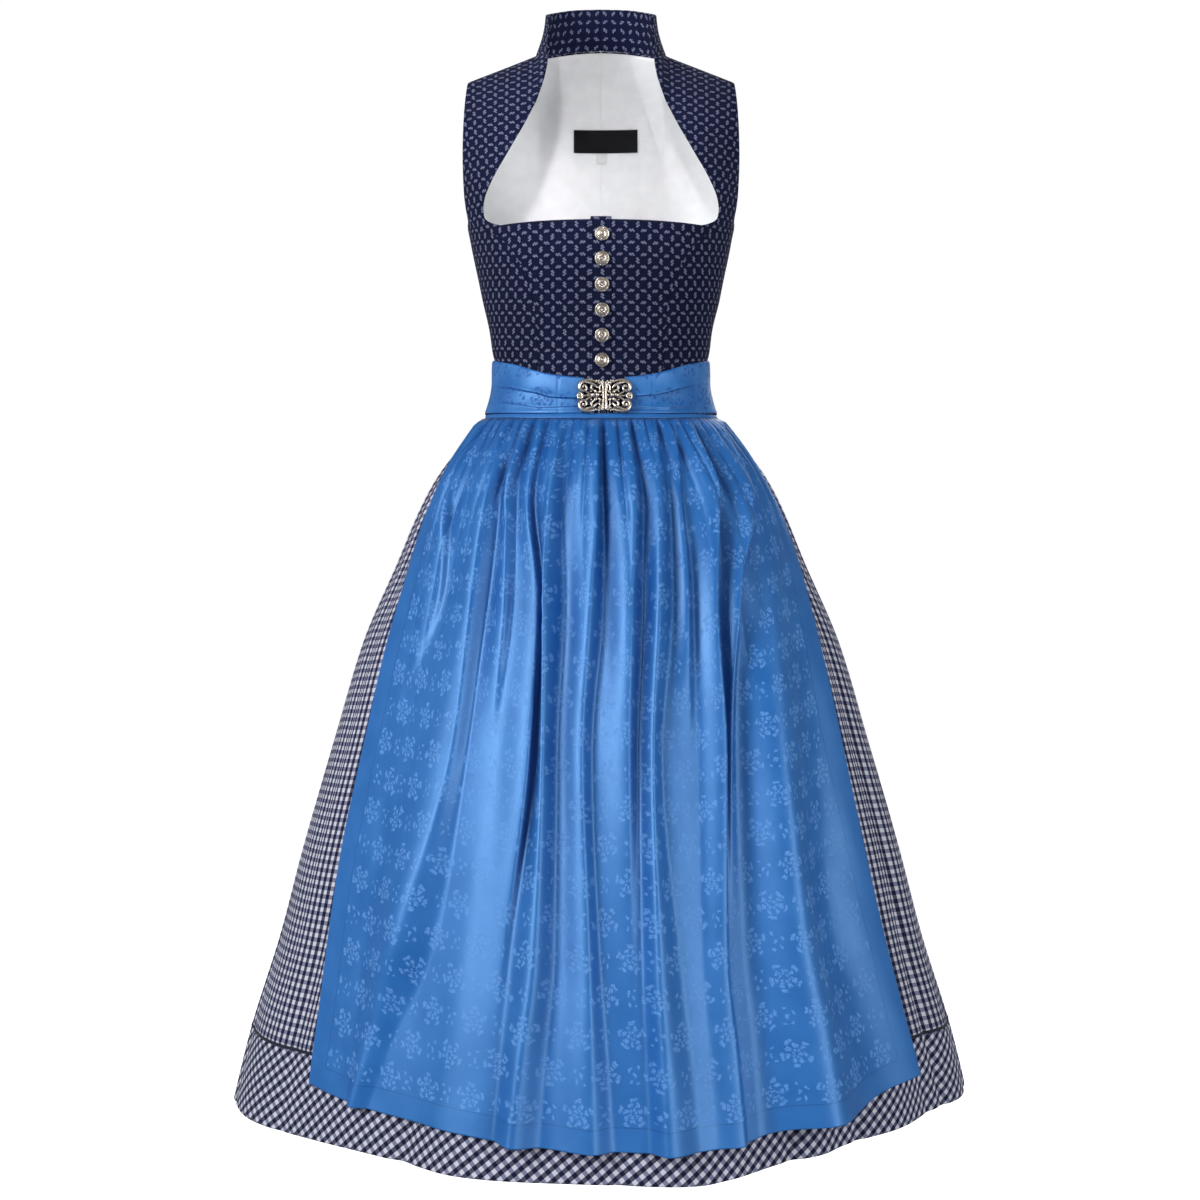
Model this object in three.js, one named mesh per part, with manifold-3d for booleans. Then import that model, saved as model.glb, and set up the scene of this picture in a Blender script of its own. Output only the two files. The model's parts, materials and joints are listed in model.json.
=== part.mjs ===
// Dirndl: a sleeveless dress with a stand collar, a gathered checked skirt and its own
// satin apron with a metal clasp, filled out as if it were worn. Sizes are millimetres.
// The origin lies midway between the shoulder seams. +Z is up, the front faces -Y, and
// +X is on the right of somebody who stands before the dress.

import * as THREE from 'three';
import Module from 'manifold-3d';
import { mergeVertices } from 'three/addons/utils/BufferGeometryUtils.js';

const wasm = await Module();
wasm.setup();

// ---------------------------------------------------------------- cloth and seams
const SKIRT_CLOTH = 1.6;
const BODICE_CLOTH = 2;
const COLLAR_CLOTH = 2.2;
const LINING_CLOTH = 1;
const LABEL_CLOTH = 1;
const SEAM = 0.3;

// ---------------------------------------------------------------- the body of the form
// Each row is a level section: half width, depth in front and behind, and its power
// (2 is an ellipse, less is leaner at the corners, more is fuller). Rows run upwards.
const BODICE_LEVELS = [
  { z: -380, side: 122.5, front: 102.5, back: 92.5, power: 2.2 },
  { z: -358, side: 118.5, front: 98.5, back: 88.5, power: 2.2 },
  { z: -340, side: 116.5, front: 96.5, back: 86.5, power: 2.2 },
  { z: -322, side: 116, front: 96, back: 86, power: 2.2 },
  { z: -310, side: 118.7, front: 98.5, back: 87.5, power: 2.2 },
  { z: -283, side: 123, front: 105, back: 90, power: 2.2 },
  { z: -250, side: 130.4, front: 114, back: 95, power: 2.2 },
  { z: -217, side: 137.5, front: 122, back: 100, power: 2.2 },
  { z: -184, side: 143.6, front: 119, back: 104, power: 2.2 },
  { z: -166, side: 148, front: 115, back: 106, power: 2.2 },
  { z: -150, side: 152, front: 113, back: 106, power: 2.2 },
  { z: -120, side: 158, front: 112, back: 106, power: 2.2 },
  { z: -85, side: 165, front: 112, back: 105, power: 2.2 },
  { z: -50, side: 173, front: 112, back: 104, power: 2.2 },
  { z: -10, side: 180, front: 112, back: 104, power: 2.2 },
];

// The skirt in the bottom of its gathers, from the hem up to the waist seam.
const SKIRT_LEVELS = [
  { z: -1135, side: 405, front: 333, back: 323, power: 1.75 },
  { z: -1049, side: 384, front: 316, back: 306, power: 1.75 },
  { z: -943, side: 351, front: 295, back: 287, power: 1.77 },
  { z: -848, side: 326, front: 274, back: 266, power: 1.82 },
  { z: -733, side: 292, front: 246, back: 239, power: 1.88 },
  { z: -626, side: 259, front: 218, back: 211, power: 1.94 },
  { z: -539, side: 220, front: 188, back: 181, power: 2 },
  { z: -487, side: 198, front: 168, back: 161, power: 2.03 },
  { z: -452, side: 180, front: 152, back: 145, power: 2.05 },
  { z: -424, side: 161, front: 134, back: 127, power: 2.07 },
  { z: -400, side: 139, front: 114, back: 106, power: 2.09 },
  { z: -388, side: 128, front: 105.5, back: 96, power: 2.1 },
  { z: -370, side: 119, front: 99.5, back: 89, power: 2.15 },
];

// The apron's band: snug on the waist, and flared over the skirt's gathers.
const BAND_LEVELS = [
  { z: -388, side: 134, front: 110, back: 100, power: 2.15 },
  { z: -376, side: 127.6, front: 105.5, back: 96, power: 2.15 },
  { z: -358, side: 122.6, front: 101.9, back: 92.3, power: 2.2 },
  { z: -340, side: 120, front: 99.9, back: 90.2, power: 2.2 },
  { z: -316, side: 119.4, front: 99.4, back: 89.7, power: 2.2 },
];

// ---------------------------------------------------------------- shoulders and neck
const SHOULDER = { neckX: 72, neckZ: 19.5, tipX: 147, tipZ: -10, y: 5 };
const CHEST_Z = -150;
const UNDERARM_Z = -172;
const NECK_BACK_Z = 43;
const NECK_BACK_ROUND = 0.65;
const NECK_RISE = 89.6;
const NECK_RISE_ROUND = 0.9;
const FRONT_LEAN = { along: 1.6, curve: 0.75 };
const BACK_LEAN = { along: 2.4, curve: 0.6 };
const SHOULDER_SLOPE = 0.38;

// The edge of the deep front neckline, from its level bottom up to the shoulder seam.
// Its last two rows are the short stretch that the collar is sewn to.
const NECKLINE = [
  { z: -184, x: 107 },
  { z: -178.5, x: 119 },
  { z: -171, x: 125.5 },
  { z: -163, x: 126.5 },
  { z: -154, x: 125 },
  { z: -138, x: 118 },
  { z: -106, x: 99.5 },
  { z: -70, x: 80 },
  { z: -42, x: 68.5 },
  { z: -14, x: 60.5 },
  { z: 3, x: 58.5 },
  { z: 19.5, x: 72 },
];
const NECKLINE_BOTTOM = NECKLINE[0];

const ARMHOLE = [
  { z: -172, x: 146 },
  { z: -150, x: 148.5 },
  { z: -100, x: 150 },
  { z: -50, x: 149 },
  { z: -10, x: 147 },
];

// The curved front seam that shapes the bust, from the waist up to the armhole.
const BUST_SEAM = [
  { z: -380, x: 66 },
  { z: -320, x: 66.5 },
  { z: -280, x: 69 },
  { z: -250, x: 75.5 },
  { z: -225, x: 86 },
  { z: -203, x: 101 },
  { z: -187, x: 122 },
  { z: -178, x: 136 },
  { z: -169, x: 145 },
];
const BUST_SEAM_TOP = -169;

const COLLAR = { gap: 0.5, hollow: 2, shoulderShare: 0.28, middleY: 20 };
const COLLAR_TOP = [
  { x: 56.6, y: -15, z: 58 },
  { x: 61, y: 8, z: 66 },
  { x: 53, y: 35, z: 76 },
  { x: 31, y: 55, z: 85 },
  { x: 0, y: 62, z: 88 },
];

const BUTTON_BAND = { halfWidth: 11, top: -181, lift: 0.8 };
const BUTTONS = { count: 6, radius: 7.7, x: 1, top: -200, pitch: 25.6, gap: 1.4 };
const LABEL = { left: -32, right: 43, top: -40, bottom: -66, gap: 1.6 };
const SIZE_TAB = { left: -5, right: 6.5, top: -66.4, bottom: -78.4, gap: 1.2 };

// ---------------------------------------------------------------- waist, folds and hem
const WAIST = { side: -372, frontDip: 6 };
const SKIRT_GATHERS = 16;
const COLUMNS_PER_GATHER = 4;
const GATHER_DEPTH = [
  { z: -860, depth: 0 },
  { z: -720, depth: 0.8 },
  { z: -600, depth: 2.2 },
  { z: -520, depth: 3.6 },
  { z: -450, depth: 4.4 },
  { z: -410, depth: 3.2 },
  { z: -388, depth: 2 },
  { z: -372, depth: 1.2 },
];

// Large folds: where the ridge stands (share of the way from the centre, -1 or 1, to a
// side seam), how far its flanks reach to either side, how deep it is at the hem, and
// the level where it starts.
const FRONT_FOLDS = [
  { at: -0.78, left: 0.15, right: 0.22, depth: 8, from: -480 },
  { at: -0.24, left: 0.13, right: 0.22, depth: 13, from: -430 },
  { at: 0.155, left: 0.15, right: 0.17, depth: 14, from: -430 },
  { at: 0.4, left: 0.07, right: 0.06, depth: 6, from: -560 },
  { at: 0.59, left: 0.12, right: 0.13, depth: 9, from: -500 },
  { at: 0.84, left: 0.1, right: 0.12, depth: 8, from: -460 },
];
const BACK_FOLDS = [
  { at: -0.84, left: 0.14, right: 0.16, depth: 10, from: -470 },
  { at: -0.55, left: 0.13, right: 0.15, depth: 15, from: -440 },
  { at: -0.26, left: 0.15, right: 0.12, depth: 13, from: -480 },
  { at: 0.05, left: 0.18, right: 0.15, depth: 17, from: -425 },
  { at: 0.34, left: 0.12, right: 0.15, depth: 12, from: -460 },
  { at: 0.63, left: 0.16, right: 0.12, depth: 15, from: -440 },
  { at: 0.87, left: 0.12, right: 0.12, depth: 9, from: -490 },
];

// The seam line that holds the piping, and the hem, at shares of the front and the back.
const FRONT_LINES = [
  { share: -1, piping: -1042, hem: -1124 },
  { share: -0.8, piping: -1037, hem: -1119 },
  { share: -0.5, piping: -1036, hem: -1117 },
  { share: -0.25, piping: -1040, hem: -1122 },
  { share: 0.16, piping: -1042, hem: -1126 },
  { share: 0.35, piping: -1036, hem: -1117 },
  { share: 0.7, piping: -1028, hem: -1104 },
  { share: 1, piping: -1034, hem: -1107 },
];
const BACK_LINES = [
  { share: -1, piping: -1042, hem: -1124 },
  { share: 0, piping: -1038, hem: -1119 },
  { share: 1, piping: -1034, hem: -1107 },
];
const PIPING = { height: 3, proud: 0.9, depth: 2.6 };
const HEM_BAND_CLOTH = 2;

// ---------------------------------------------------------------- apron
const APRON_GATHERS = 24;
const APRON_LIFT = { high: 1.1, low: 2.9, lowFrom: -850, lowFull: -1030 };
const HEADING_LIFT = 0.9;
const HEADING_HEIGHT = 5;
const BAND_LINES = [
  { share: 0, top: -349, bottom: -385 },
  { share: 0.3, top: -342, bottom: -384 },
  { share: 0.6, top: -328, bottom: -381 },
  { share: 1, top: -318, bottom: -376.5 },
  { share: 2, top: -322, bottom: -375 },
];
const BAND_END = 22;
const BAND_CREASES = [
  { front: 0.28, side: 0.12, depth: 1.2 },
  { front: 0.52, side: 0.45, depth: 1.6 },
  { front: 0.76, side: 0.8, depth: 1.2 },
];
const CREASE_FLANKS = { under: 0.16, over: 0.2 };
const APRON_EDGES = [
  { z: -1100, left: 291, right: 312 },
  { z: -1060, left: 289, right: 306 },
  { z: -990, left: 281, right: 289 },
  { z: -870, left: 268, right: 263 },
  { z: -750, left: 246, right: 241 },
  { z: -635, left: 221, right: 222 },
  { z: -560, left: 201, right: 208 },
  { z: -492, left: 180, right: 189 },
  { z: -446, left: 159, right: 166 },
  { z: -386, left: 122, right: 124 },
];
const APRON_HEM = [
  { share: -1, z: -1064 },
  { share: -0.75, z: -1075 },
  { share: -0.4, z: -1083 },
  { share: -0.1, z: -1093 },
  { share: 0.15, z: -1095 },
  { share: 0.38, z: -1093 },
  { share: 0.52, z: -1083 },
  { share: 0.75, z: -1074 },
  { share: 1, z: -1057 },
];
// How proud the apron's gathers stand at distances below the band.
const APRON_GATHER_DEPTH = [
  { below: 0, depth: 1.6 },
  { below: 14, depth: 2.9 },
  { below: 60, depth: 2.2 },
  { below: 110, depth: 0.7 },
  { below: 160, depth: 0 },
];
// The apron's soft folds: the ridge's place across the apron (-1 to 1) under the band,
// at the hip and at the knee, the reach of its flanks and its depth.
const APRON_FOLDS = [
  { top: -0.93, hip: -0.93, knee: -0.94, reach: 0.09, depth: 2.5 },
  { top: -0.74, hip: -0.64, knee: -0.68, reach: 0.17, depth: 5.5 },
  { top: -0.42, hip: -0.29, knee: -0.35, reach: 0.15, depth: 6 },
  { top: -0.11, hip: -0.085, knee: -0.1, reach: 0.1, depth: 5 },
  { top: 0.11, hip: 0.07, knee: 0.075, reach: 0.08, depth: 4.5 },
  { top: 0.3, hip: 0.205, knee: 0.22, reach: 0.09, depth: 4.5 },
  { top: 0.53, hip: 0.375, knee: 0.33, reach: 0.08, depth: 5 },
  { top: 0.75, hip: 0.545, knee: 0.52, reach: 0.13, depth: 6.5 },
  { top: 0.88, hip: 0.77, knee: 0.8, reach: 0.13, depth: 5.5 },
];
const APRON_FOLD_LEVELS = { top: -400, hip: -580, knee: -850, start: -410, full: -560 };
const CLASP = { x: 4, z: -366.5, plate: 1.6, lift: 2.6, turn: 4, tilt: 13 };

// ---------------------------------------------------------------- reading the tables
const { clamp, lerp, smoothstep, degToRad } = THREE.MathUtils;

// Reads one column of a table on a smooth curve through its rows, which never overshoots.
function read(rows, at, column, key = 'z') {
  const last = rows.length - 1;
  const place = clamp(at, rows[0][key], rows[last][key]);
  let i = 1;
  while (rows[i][key] < place) i += 1;
  const rise = (k) => (rows[k][column] - rows[k - 1][column]) / (rows[k][key] - rows[k - 1][key]);
  const slope = (k) => {
    if (k === 0) return rise(1);
    if (k === last) return rise(last);
    const before = rise(k);
    const after = rise(k + 1);
    return before * after > 0 ? (2 * before * after) / (before + after) : 0;
  };
  const gap = rows[i][key] - rows[i - 1][key];
  const t = (place - rows[i - 1][key]) / gap;
  const fromLow = lerp(rows[i - 1][column], rows[i][column], t * t * (3 - 2 * t));
  const bend = slope(i - 1) * t * (1 - t) * (1 - t) - slope(i) * t * t * (1 - t);
  return fromLow + gap * bend;
}

// Evenly spaced numbers from first to last.
function steps(first, last, count) {
  return Array.from({ length: count + 1 }, (_, i) => lerp(first, last, i / count));
}

// ---------------------------------------------------------------- sections of the form
const ARC_STEPS = 160;
const FRONT = -1;
const BACK = 1;
const sectionsMade = new Map();

// A quarter of a level section, from the centre line to the side seam, with the length
// along it so that places can be given as shares of that length.
function section(levels, z, half) {
  const name = `${levels.length}:${half}:${z.toFixed(4)}`;
  if (sectionsMade.has(name)) return sectionsMade.get(name);
  const side = read(levels, z, 'side');
  const depth = read(levels, z, half === FRONT ? 'front' : 'back');
  const power = read(levels, z, 'power');
  const points = steps(0, Math.PI / 2, ARC_STEPS).map((angle) => ({
    x: side * Math.sin(angle) ** (2 / power),
    y: depth * Math.max(Math.cos(angle), 0) ** (2 / power),
  }));
  const lengths = [0];
  for (let i = 1; i <= ARC_STEPS; i += 1) {
    const step = Math.hypot(points[i].x - points[i - 1].x, points[i].y - points[i - 1].y);
    lengths.push(lengths[i - 1] + step);
  }
  const made = { side, depth, power, half, points, lengths, length: lengths[ARC_STEPS] };
  sectionsMade.set(name, made);
  return made;
}

// The point at a share (-1 to 1) of a section, and the level way out from it.
function onSection(cut, share) {
  const along = Math.min(Math.abs(share), 1) * cut.length;
  let i = 1;
  while (i < ARC_STEPS && cut.lengths[i] < along) i += 1;
  const t = (along - cut.lengths[i - 1]) / (cut.lengths[i] - cut.lengths[i - 1]);
  const x = Math.sign(share) * lerp(cut.points[i - 1].x, cut.points[i].x, t);
  const y = cut.half * lerp(cut.points[i - 1].y, cut.points[i].y, t);
  const out = new THREE.Vector3(x / cut.side ** 2, y / cut.depth ** 2, 0).normalize();
  return { x, y, out };
}

// The share of a section at which it is x wide.
function shareAt(cut, x) {
  const reach = Math.min(Math.abs(x), cut.side);
  let i = 1;
  while (i < ARC_STEPS && cut.points[i].x < reach) i += 1;
  const t = (reach - cut.points[i - 1].x) / (cut.points[i].x - cut.points[i - 1].x);
  return (Math.sign(x) * lerp(cut.lengths[i - 1], cut.lengths[i], t)) / cut.length;
}

// ---------------------------------------------------------------- walls of cloth
// Makes a closed wall from two skins of points: skin 0 is the outside of the cloth and
// skin 1 its inside. Cells that isCut refuses are left out of the piece.
function clothWall(columns, rows, pointAt, isCut = () => true) {
  const positions = [];
  const numbers = new Map();
  const faces = [];
  const has = (i, j) => i >= 0 && j >= 0 && i < columns.length - 1 && j < rows.length - 1 && isCut(i, j);
  const corner = (i, j, skin) => {
    const name = `${i},${j},${skin}`;
    if (!numbers.has(name)) {
      numbers.set(name, positions.length / 3);
      positions.push(...pointAt(columns[i], rows[j], skin).toArray());
    }
    return numbers.get(name);
  };
  const quad = (a, b, c, d) => faces.push(a, b, c, a, c, d);
  const edge = (i0, j0, i1, j1) =>
    quad(corner(i1, j1, 0), corner(i0, j0, 0), corner(i0, j0, 1), corner(i1, j1, 1));
  for (let j = 0; j < rows.length - 1; j += 1) {
    for (let i = 0; i < columns.length - 1; i += 1) {
      if (!has(i, j)) continue;
      quad(corner(i, j, 0), corner(i + 1, j, 0), corner(i + 1, j + 1, 0), corner(i, j + 1, 0));
      quad(corner(i, j, 1), corner(i, j + 1, 1), corner(i + 1, j + 1, 1), corner(i + 1, j, 1));
      if (!has(i, j - 1)) edge(i, j, i + 1, j);
      if (!has(i + 1, j)) edge(i + 1, j, i + 1, j + 1);
      if (!has(i, j + 1)) edge(i + 1, j + 1, i, j + 1);
      if (!has(i - 1, j)) edge(i, j + 1, i, j);
    }
  }
  return closedGeometry(positions, faces);
}

// A geometry whose faces point out, whichever way round its grid was made.
function closedGeometry(positions, faces) {
  const point = (k) => new THREE.Vector3(...positions.slice(3 * k, 3 * k + 3));
  let volume = 0;
  for (let i = 0; i < faces.length; i += 3) {
    volume += point(faces[i]).dot(point(faces[i + 1]).cross(point(faces[i + 2])));
  }
  const index = volume > 0 ? faces : faces.slice().reverse();
  const geometry = new THREE.BufferGeometry();
  geometry.setAttribute('position', new THREE.Float32BufferAttribute(positions, 3));
  geometry.setIndex(index);
  geometry.computeVertexNormals();
  return geometry;
}

// ---------------------------------------------------------------- bodice surface
// The height of the shoulder seam above x, carried on to a crown behind the neck.
function shoulderHeight(x) {
  const reach = Math.abs(x);
  if (reach < SHOULDER.neckX) {
    return SHOULDER.neckZ + NECK_RISE * (1 - (reach / SHOULDER.neckX) ** 2) ** NECK_RISE_ROUND;
  }
  const fall = (SHOULDER.tipZ - SHOULDER.neckZ) / (SHOULDER.tipX - SHOULDER.neckX);
  return SHOULDER.neckZ + fall * (reach - SHOULDER.neckX);
}

// 0 up to the chest, and 1 on the shoulder seam.
function leanAt(x, z) {
  return clamp((z - CHEST_Z) / (shoulderHeight(x) - CHEST_Z), 0, 1);
}

function bodiceY(half, x, z) {
  const cut = section(BODICE_LEVELS, z, half);
  const reach = Math.min(Math.abs(x) / cut.side, 1);
  const full = half * cut.depth * (1 - reach ** cut.power) ** (1 / cut.power);
  const shape = half === FRONT ? FRONT_LEAN : BACK_LEAN;
  const stays = (1 - leanAt(x, z) ** shape.along) ** shape.curve;
  return lerp(z > CHEST_Z ? SHOULDER.y : full, full, z > CHEST_Z ? stays : 1);
}

// A point of the bodice, moved out from its outer face by lift (in, where negative).
function bodicePoint(half, x, y, z, lift) {
  const cut = section(BODICE_LEVELS, z, half);
  const lean = leanAt(x, z);
  const level = new THREE.Vector3(x / cut.side ** 2, (y - SHOULDER.y * lean) / cut.depth ** 2, 0);
  const slope = SHOULDER_SLOPE * clamp(x / SHOULDER.neckX, -1, 1);
  const up = new THREE.Vector3(slope, 0, 1).normalize();
  const turn = (Math.PI / 2) * lean ** 2;
  const out = level.normalize().multiplyScalar(Math.cos(turn)).addScaledVector(up, Math.sin(turn));
  return new THREE.Vector3(x, y + (half * SEAM) / 2, z).addScaledVector(out, lift);
}

function onBodice(half, x, z, lift) {
  return bodicePoint(half, x, bodiceY(half, x, z), z, lift);
}

// The waist seam dips towards the centre front.
function waistHeight(share) {
  return WAIST.side - WAIST.frontDip * (1 - Math.abs(share)) ** 2;
}

// The height of a bodice row at x: the lowest row follows the waist seam.
function rowHeight(row, x) {
  if (row !== WAIST.side) return row;
  return waistHeight(shareAt(section(BODICE_LEVELS, row, FRONT), x));
}

// ---------------------------------------------------------------- bodice pieces
const BODICE_ROWS = [-372, -350, -328, -310, -290, -268, -248, -228, -210, -196, NECKLINE_BOTTOM.z];
const STRAP_ROWS = [0.046, 0.086, 0.16, 0.27, 0.39, 0.51, 0.63, 0.75, 0.86, 0.953, 1];
const PANEL_COLUMNS = 4;
const STRAP_COLUMNS = 4;

// Centre front panel: below the neckline it reaches from the button band to the bust
// seam; beside the neckline it runs on up to the shoulder as a strap.
function frontPanel(side) {
  const inner = BUTTON_BAND.halfWidth + SEAM / 2;
  const seamX = (z) => read(BUST_SEAM, z, 'x') - SEAM / 2;
  const cornerShare = (NECKLINE_BOTTOM.x - inner) / (seamX(NECKLINE_BOTTOM.z) - inner);
  const columns = [
    ...steps(0, cornerShare, PANEL_COLUMNS),
    ...steps(cornerShare, 1, STRAP_COLUMNS).slice(1),
  ];
  const rows = [...BODICE_ROWS, ...STRAP_ROWS];
  const pointAt = (share, row, skin) => {
    let x;
    let z;
    if (row < 0) {
      x = lerp(inner, seamX(row), share);
      z = rowHeight(row, x);
    } else {
      const across = (share - cornerShare) / (1 - cornerShare);
      const innerZ = lerp(NECKLINE_BOTTOM.z, SHOULDER.neckZ, row);
      const outerZ = lerp(NECKLINE_BOTTOM.z, SHOULDER.tipZ, row);
      const outerX = outerZ < BUST_SEAM_TOP ? seamX(outerZ) : read(ARMHOLE, outerZ, 'x');
      x = lerp(read(NECKLINE, innerZ, 'x'), outerX, across);
      z = lerp(innerZ, outerZ, across);
    }
    return onBodice(FRONT, side * x, z, -skin * BODICE_CLOTH);
  };
  const strapFirst = BODICE_ROWS.length - 1;
  return clothWall(columns, rows, pointAt, (i, j) => j < strapFirst || i >= PANEL_COLUMNS);
}

// Side front panel: from the bust seam round to the side seam, up to the armhole.
function sideFrontPanel(side) {
  const rows = [...BODICE_ROWS, -176, UNDERARM_Z];
  const pointAt = (share, row, skin) => {
    const level = row === UNDERARM_Z ? lerp(BUST_SEAM_TOP, UNDERARM_Z, share) : row;
    const cut = section(BODICE_LEVELS, level, FRONT);
    const seam = shareAt(cut, read(BUST_SEAM, level, 'x') + SEAM / 2);
    const place = onSection(cut, lerp(seam, 1, share));
    const z = rowHeight(level, place.x);
    return bodicePoint(FRONT, side * place.x, place.y, z, -skin * BODICE_CLOTH);
  };
  return clothWall(steps(0, 1, 5), rows, pointAt);
}

// The back neck seam and the shoulder seam, as one line from the centre back out.
function backTop(share) {
  if (share < 0.5) {
    const x = SHOULDER.neckX * Math.sin(Math.PI * share);
    const round = (1 - (x / SHOULDER.neckX) ** 2) ** NECK_BACK_ROUND;
    return { x, z: lerp(SHOULDER.neckZ, NECK_BACK_Z, round) };
  }
  const out = 2 * share - 1;
  return {
    x: lerp(SHOULDER.neckX, SHOULDER.tipX, out),
    z: lerp(SHOULDER.neckZ, SHOULDER.tipZ, out),
  };
}

// Places on half a back: rows below 0 are heights up to the underarm, and rows from 0
// to 1 go on from there to the neck and shoulder.
function backPlace(share, row) {
  if (row < 0) {
    const place = onSection(section(BODICE_LEVELS, row, BACK), share);
    return { x: place.x, y: place.y, z: row };
  }
  const low = onSection(section(BODICE_LEVELS, UNDERARM_Z, BACK), share);
  const high = backTop(share);
  const z = lerp(UNDERARM_Z, high.z, row);
  const edgeZ = lerp(UNDERARM_Z, SHOULDER.tipZ, row);
  const edge = read(ARMHOLE, edgeZ, 'x') / lerp(read(ARMHOLE, UNDERARM_Z, 'x'), SHOULDER.tipX, row);
  const x = lerp(low.x, high.x, row) * lerp(1, edge, share * share);
  return { x, y: bodiceY(BACK, x, z), z };
}

const BACK_ROWS = [-372, -345, -318, -290, -260, -230, -200, UNDERARM_Z];
const BACK_TOP_ROWS = [0.05, 0.14, 0.27, 0.41, 0.55, 0.69, 0.81, 0.9, 0.96, 1];
const BACK_COLUMNS = 8;

// One side's layer of the back, between two depths under the outer face.
function backLayer(side, outerDepth, innerDepth) {
  const pointAt = (share, row, skin) => {
    const place = backPlace(share, row);
    const x = side * Math.max(place.x, SEAM / 2);
    const depth = skin === 0 ? outerDepth : innerDepth;
    return bodicePoint(BACK, x, place.y, place.z, -depth);
  };
  return clothWall(steps(0, 1, BACK_COLUMNS), [...BACK_ROWS, ...BACK_TOP_ROWS], pointAt);
}

function backPanel(side) {
  return backLayer(side, 0, BODICE_CLOTH);
}

function liningPanel(side) {
  const outer = BODICE_CLOTH + SEAM;
  return backLayer(side, outer, outer + LINING_CLOTH);
}

// A flat piece sewn on the lining inside the back.
function sewnInside(piece) {
  const face = BODICE_CLOTH + SEAM + LINING_CLOTH + piece.gap;
  const pointAt = (x, z, skin) => onBodice(BACK, x, z, -(face + skin * LABEL_CLOTH));
  return clothWall(steps(piece.left, piece.right, 6), steps(piece.bottom, piece.top, 2), pointAt);
}

function buttonBand() {
  const edge = BUTTON_BAND.halfWidth - SEAM / 2;
  const rows = [...BODICE_ROWS.slice(0, -1), BUTTON_BAND.top];
  const pointAt = (x, row, skin) => {
    const lift = skin === 0 ? BUTTON_BAND.lift : -BODICE_CLOTH;
    return onBodice(FRONT, x, rowHeight(row, x), lift);
  };
  return clothWall(steps(-edge, edge, 2), rows, pointAt);
}

// ---------------------------------------------------------------- collar
// The neck seam from its front end (0) over the shoulder to the centre back (1).
function neckSeam(share) {
  const { shoulderShare } = COLLAR;
  if (share < shoulderShare) {
    const z = lerp(NECKLINE.at(-2).z, SHOULDER.neckZ, share / shoulderShare);
    return onBodice(FRONT, read(NECKLINE, z, 'x'), z, 0);
  }
  const place = backTop(0.5 * (1 - (share - shoulderShare) / (1 - shoulderShare)));
  return onBodice(BACK, place.x, place.z, 0);
}

const collarTop = new THREE.CatmullRomCurve3(COLLAR_TOP.map(({ x, y, z }) => new THREE.Vector3(x, y, z)));

function collarHalf(side) {
  const pointAt = (share, up, skin) => {
    const seam = neckSeam(share);
    seam.z += COLLAR.gap;
    const point = seam.lerp(collarTop.getPoint(share), up);
    const out = new THREE.Vector3(point.x, point.y - COLLAR.middleY, 0).normalize();
    out.x *= smoothstep(point.x, 0, COLLAR.middleY);
    const hollow = COLLAR.hollow * Math.sin(Math.PI * up) * smoothstep(share, 0, 0.3);
    point.addScaledVector(out.normalize(), -hollow - skin * COLLAR_CLOTH);
    point.x = side * Math.max(point.x, SEAM / 2);
    return point;
  };
  return clothWall(steps(0, 1, 14), steps(0, 1, 3), pointAt);
}

// ---------------------------------------------------------------- skirt surface
// A soft ridge, 1 on its crest and 0 past its flanks.
function ridge(distance, left, right) {
  const reach = distance < 0 ? left : right;
  const part = Math.min(Math.abs(distance) / reach, 1);
  return Math.cos((Math.PI / 2) * part) ** 2;
}

function largeFolds(half, share, z) {
  const folds = half === FRONT ? FRONT_FOLDS : BACK_FOLDS;
  const hem = SKIRT_LEVELS[0].z;
  let rise = 0;
  for (const fold of folds) {
    const grown = clamp((fold.from - z) / (fold.from - hem), 0, 1);
    rise += fold.depth * grown ** 0.8 * ridge(share - fold.at, fold.left, fold.right);
  }
  return rise * (1 - share ** 6);
}

// Gathers stand a little unevenly: this bends an even count of them along the waist.
function uneven(place) {
  return place + 0.022 * Math.sin(4.1 * place + 0.7) * (1 - place * place);
}

function gatherDepth(z) {
  return read(GATHER_DEPTH, z, 'depth');
}

function gather(place, count) {
  const wave = 0.5 - 0.5 * Math.cos(Math.PI * count * (place + 1));
  return wave * (0.78 + 0.22 * Math.sin(11 * place + 2));
}

function skirtPoint(half, share, z, lift) {
  const place = onSection(section(SKIRT_LEVELS, z, half), share);
  const point = new THREE.Vector3(place.x, place.y + (half * SEAM) / 2, z);
  return point.addScaledVector(place.out, largeFolds(half, share, z) + lift);
}

// ---------------------------------------------------------------- skirt pieces
// The skirt and the apron share these row heights, so that one lies clear of the other.
const SHARED_ROWS = [-400, -426, -487, -600, -786];
const SKIRT_ROWS = ['waist', -388, ...SHARED_ROWS, 'piping'];
const APRON_ROWS = ['heading', ...SHARED_ROWS, 'hem'];
const HEM_COLUMNS = 40;

function hemLine(half, share, name) {
  return read(half === FRONT ? FRONT_LINES : BACK_LINES, share, name, 'share');
}

function skirtPanel(half) {
  const pointAt = (count, row, skin) => {
    const share = uneven(count);
    const waist = half === FRONT ? waistHeight(share) : WAIST.side;
    const ends = { waist: waist - SEAM, piping: hemLine(half, share, 'piping') + SEAM };
    const z = ends[row] ?? row;
    const lift = gatherDepth(z) * gather(count, SKIRT_GATHERS);
    return skirtPoint(half, share, z, lift - skin * SKIRT_CLOTH);
  };
  return clothWall(steps(-1, 1, SKIRT_GATHERS * COLUMNS_PER_GATHER), SKIRT_ROWS, pointAt);
}

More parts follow.
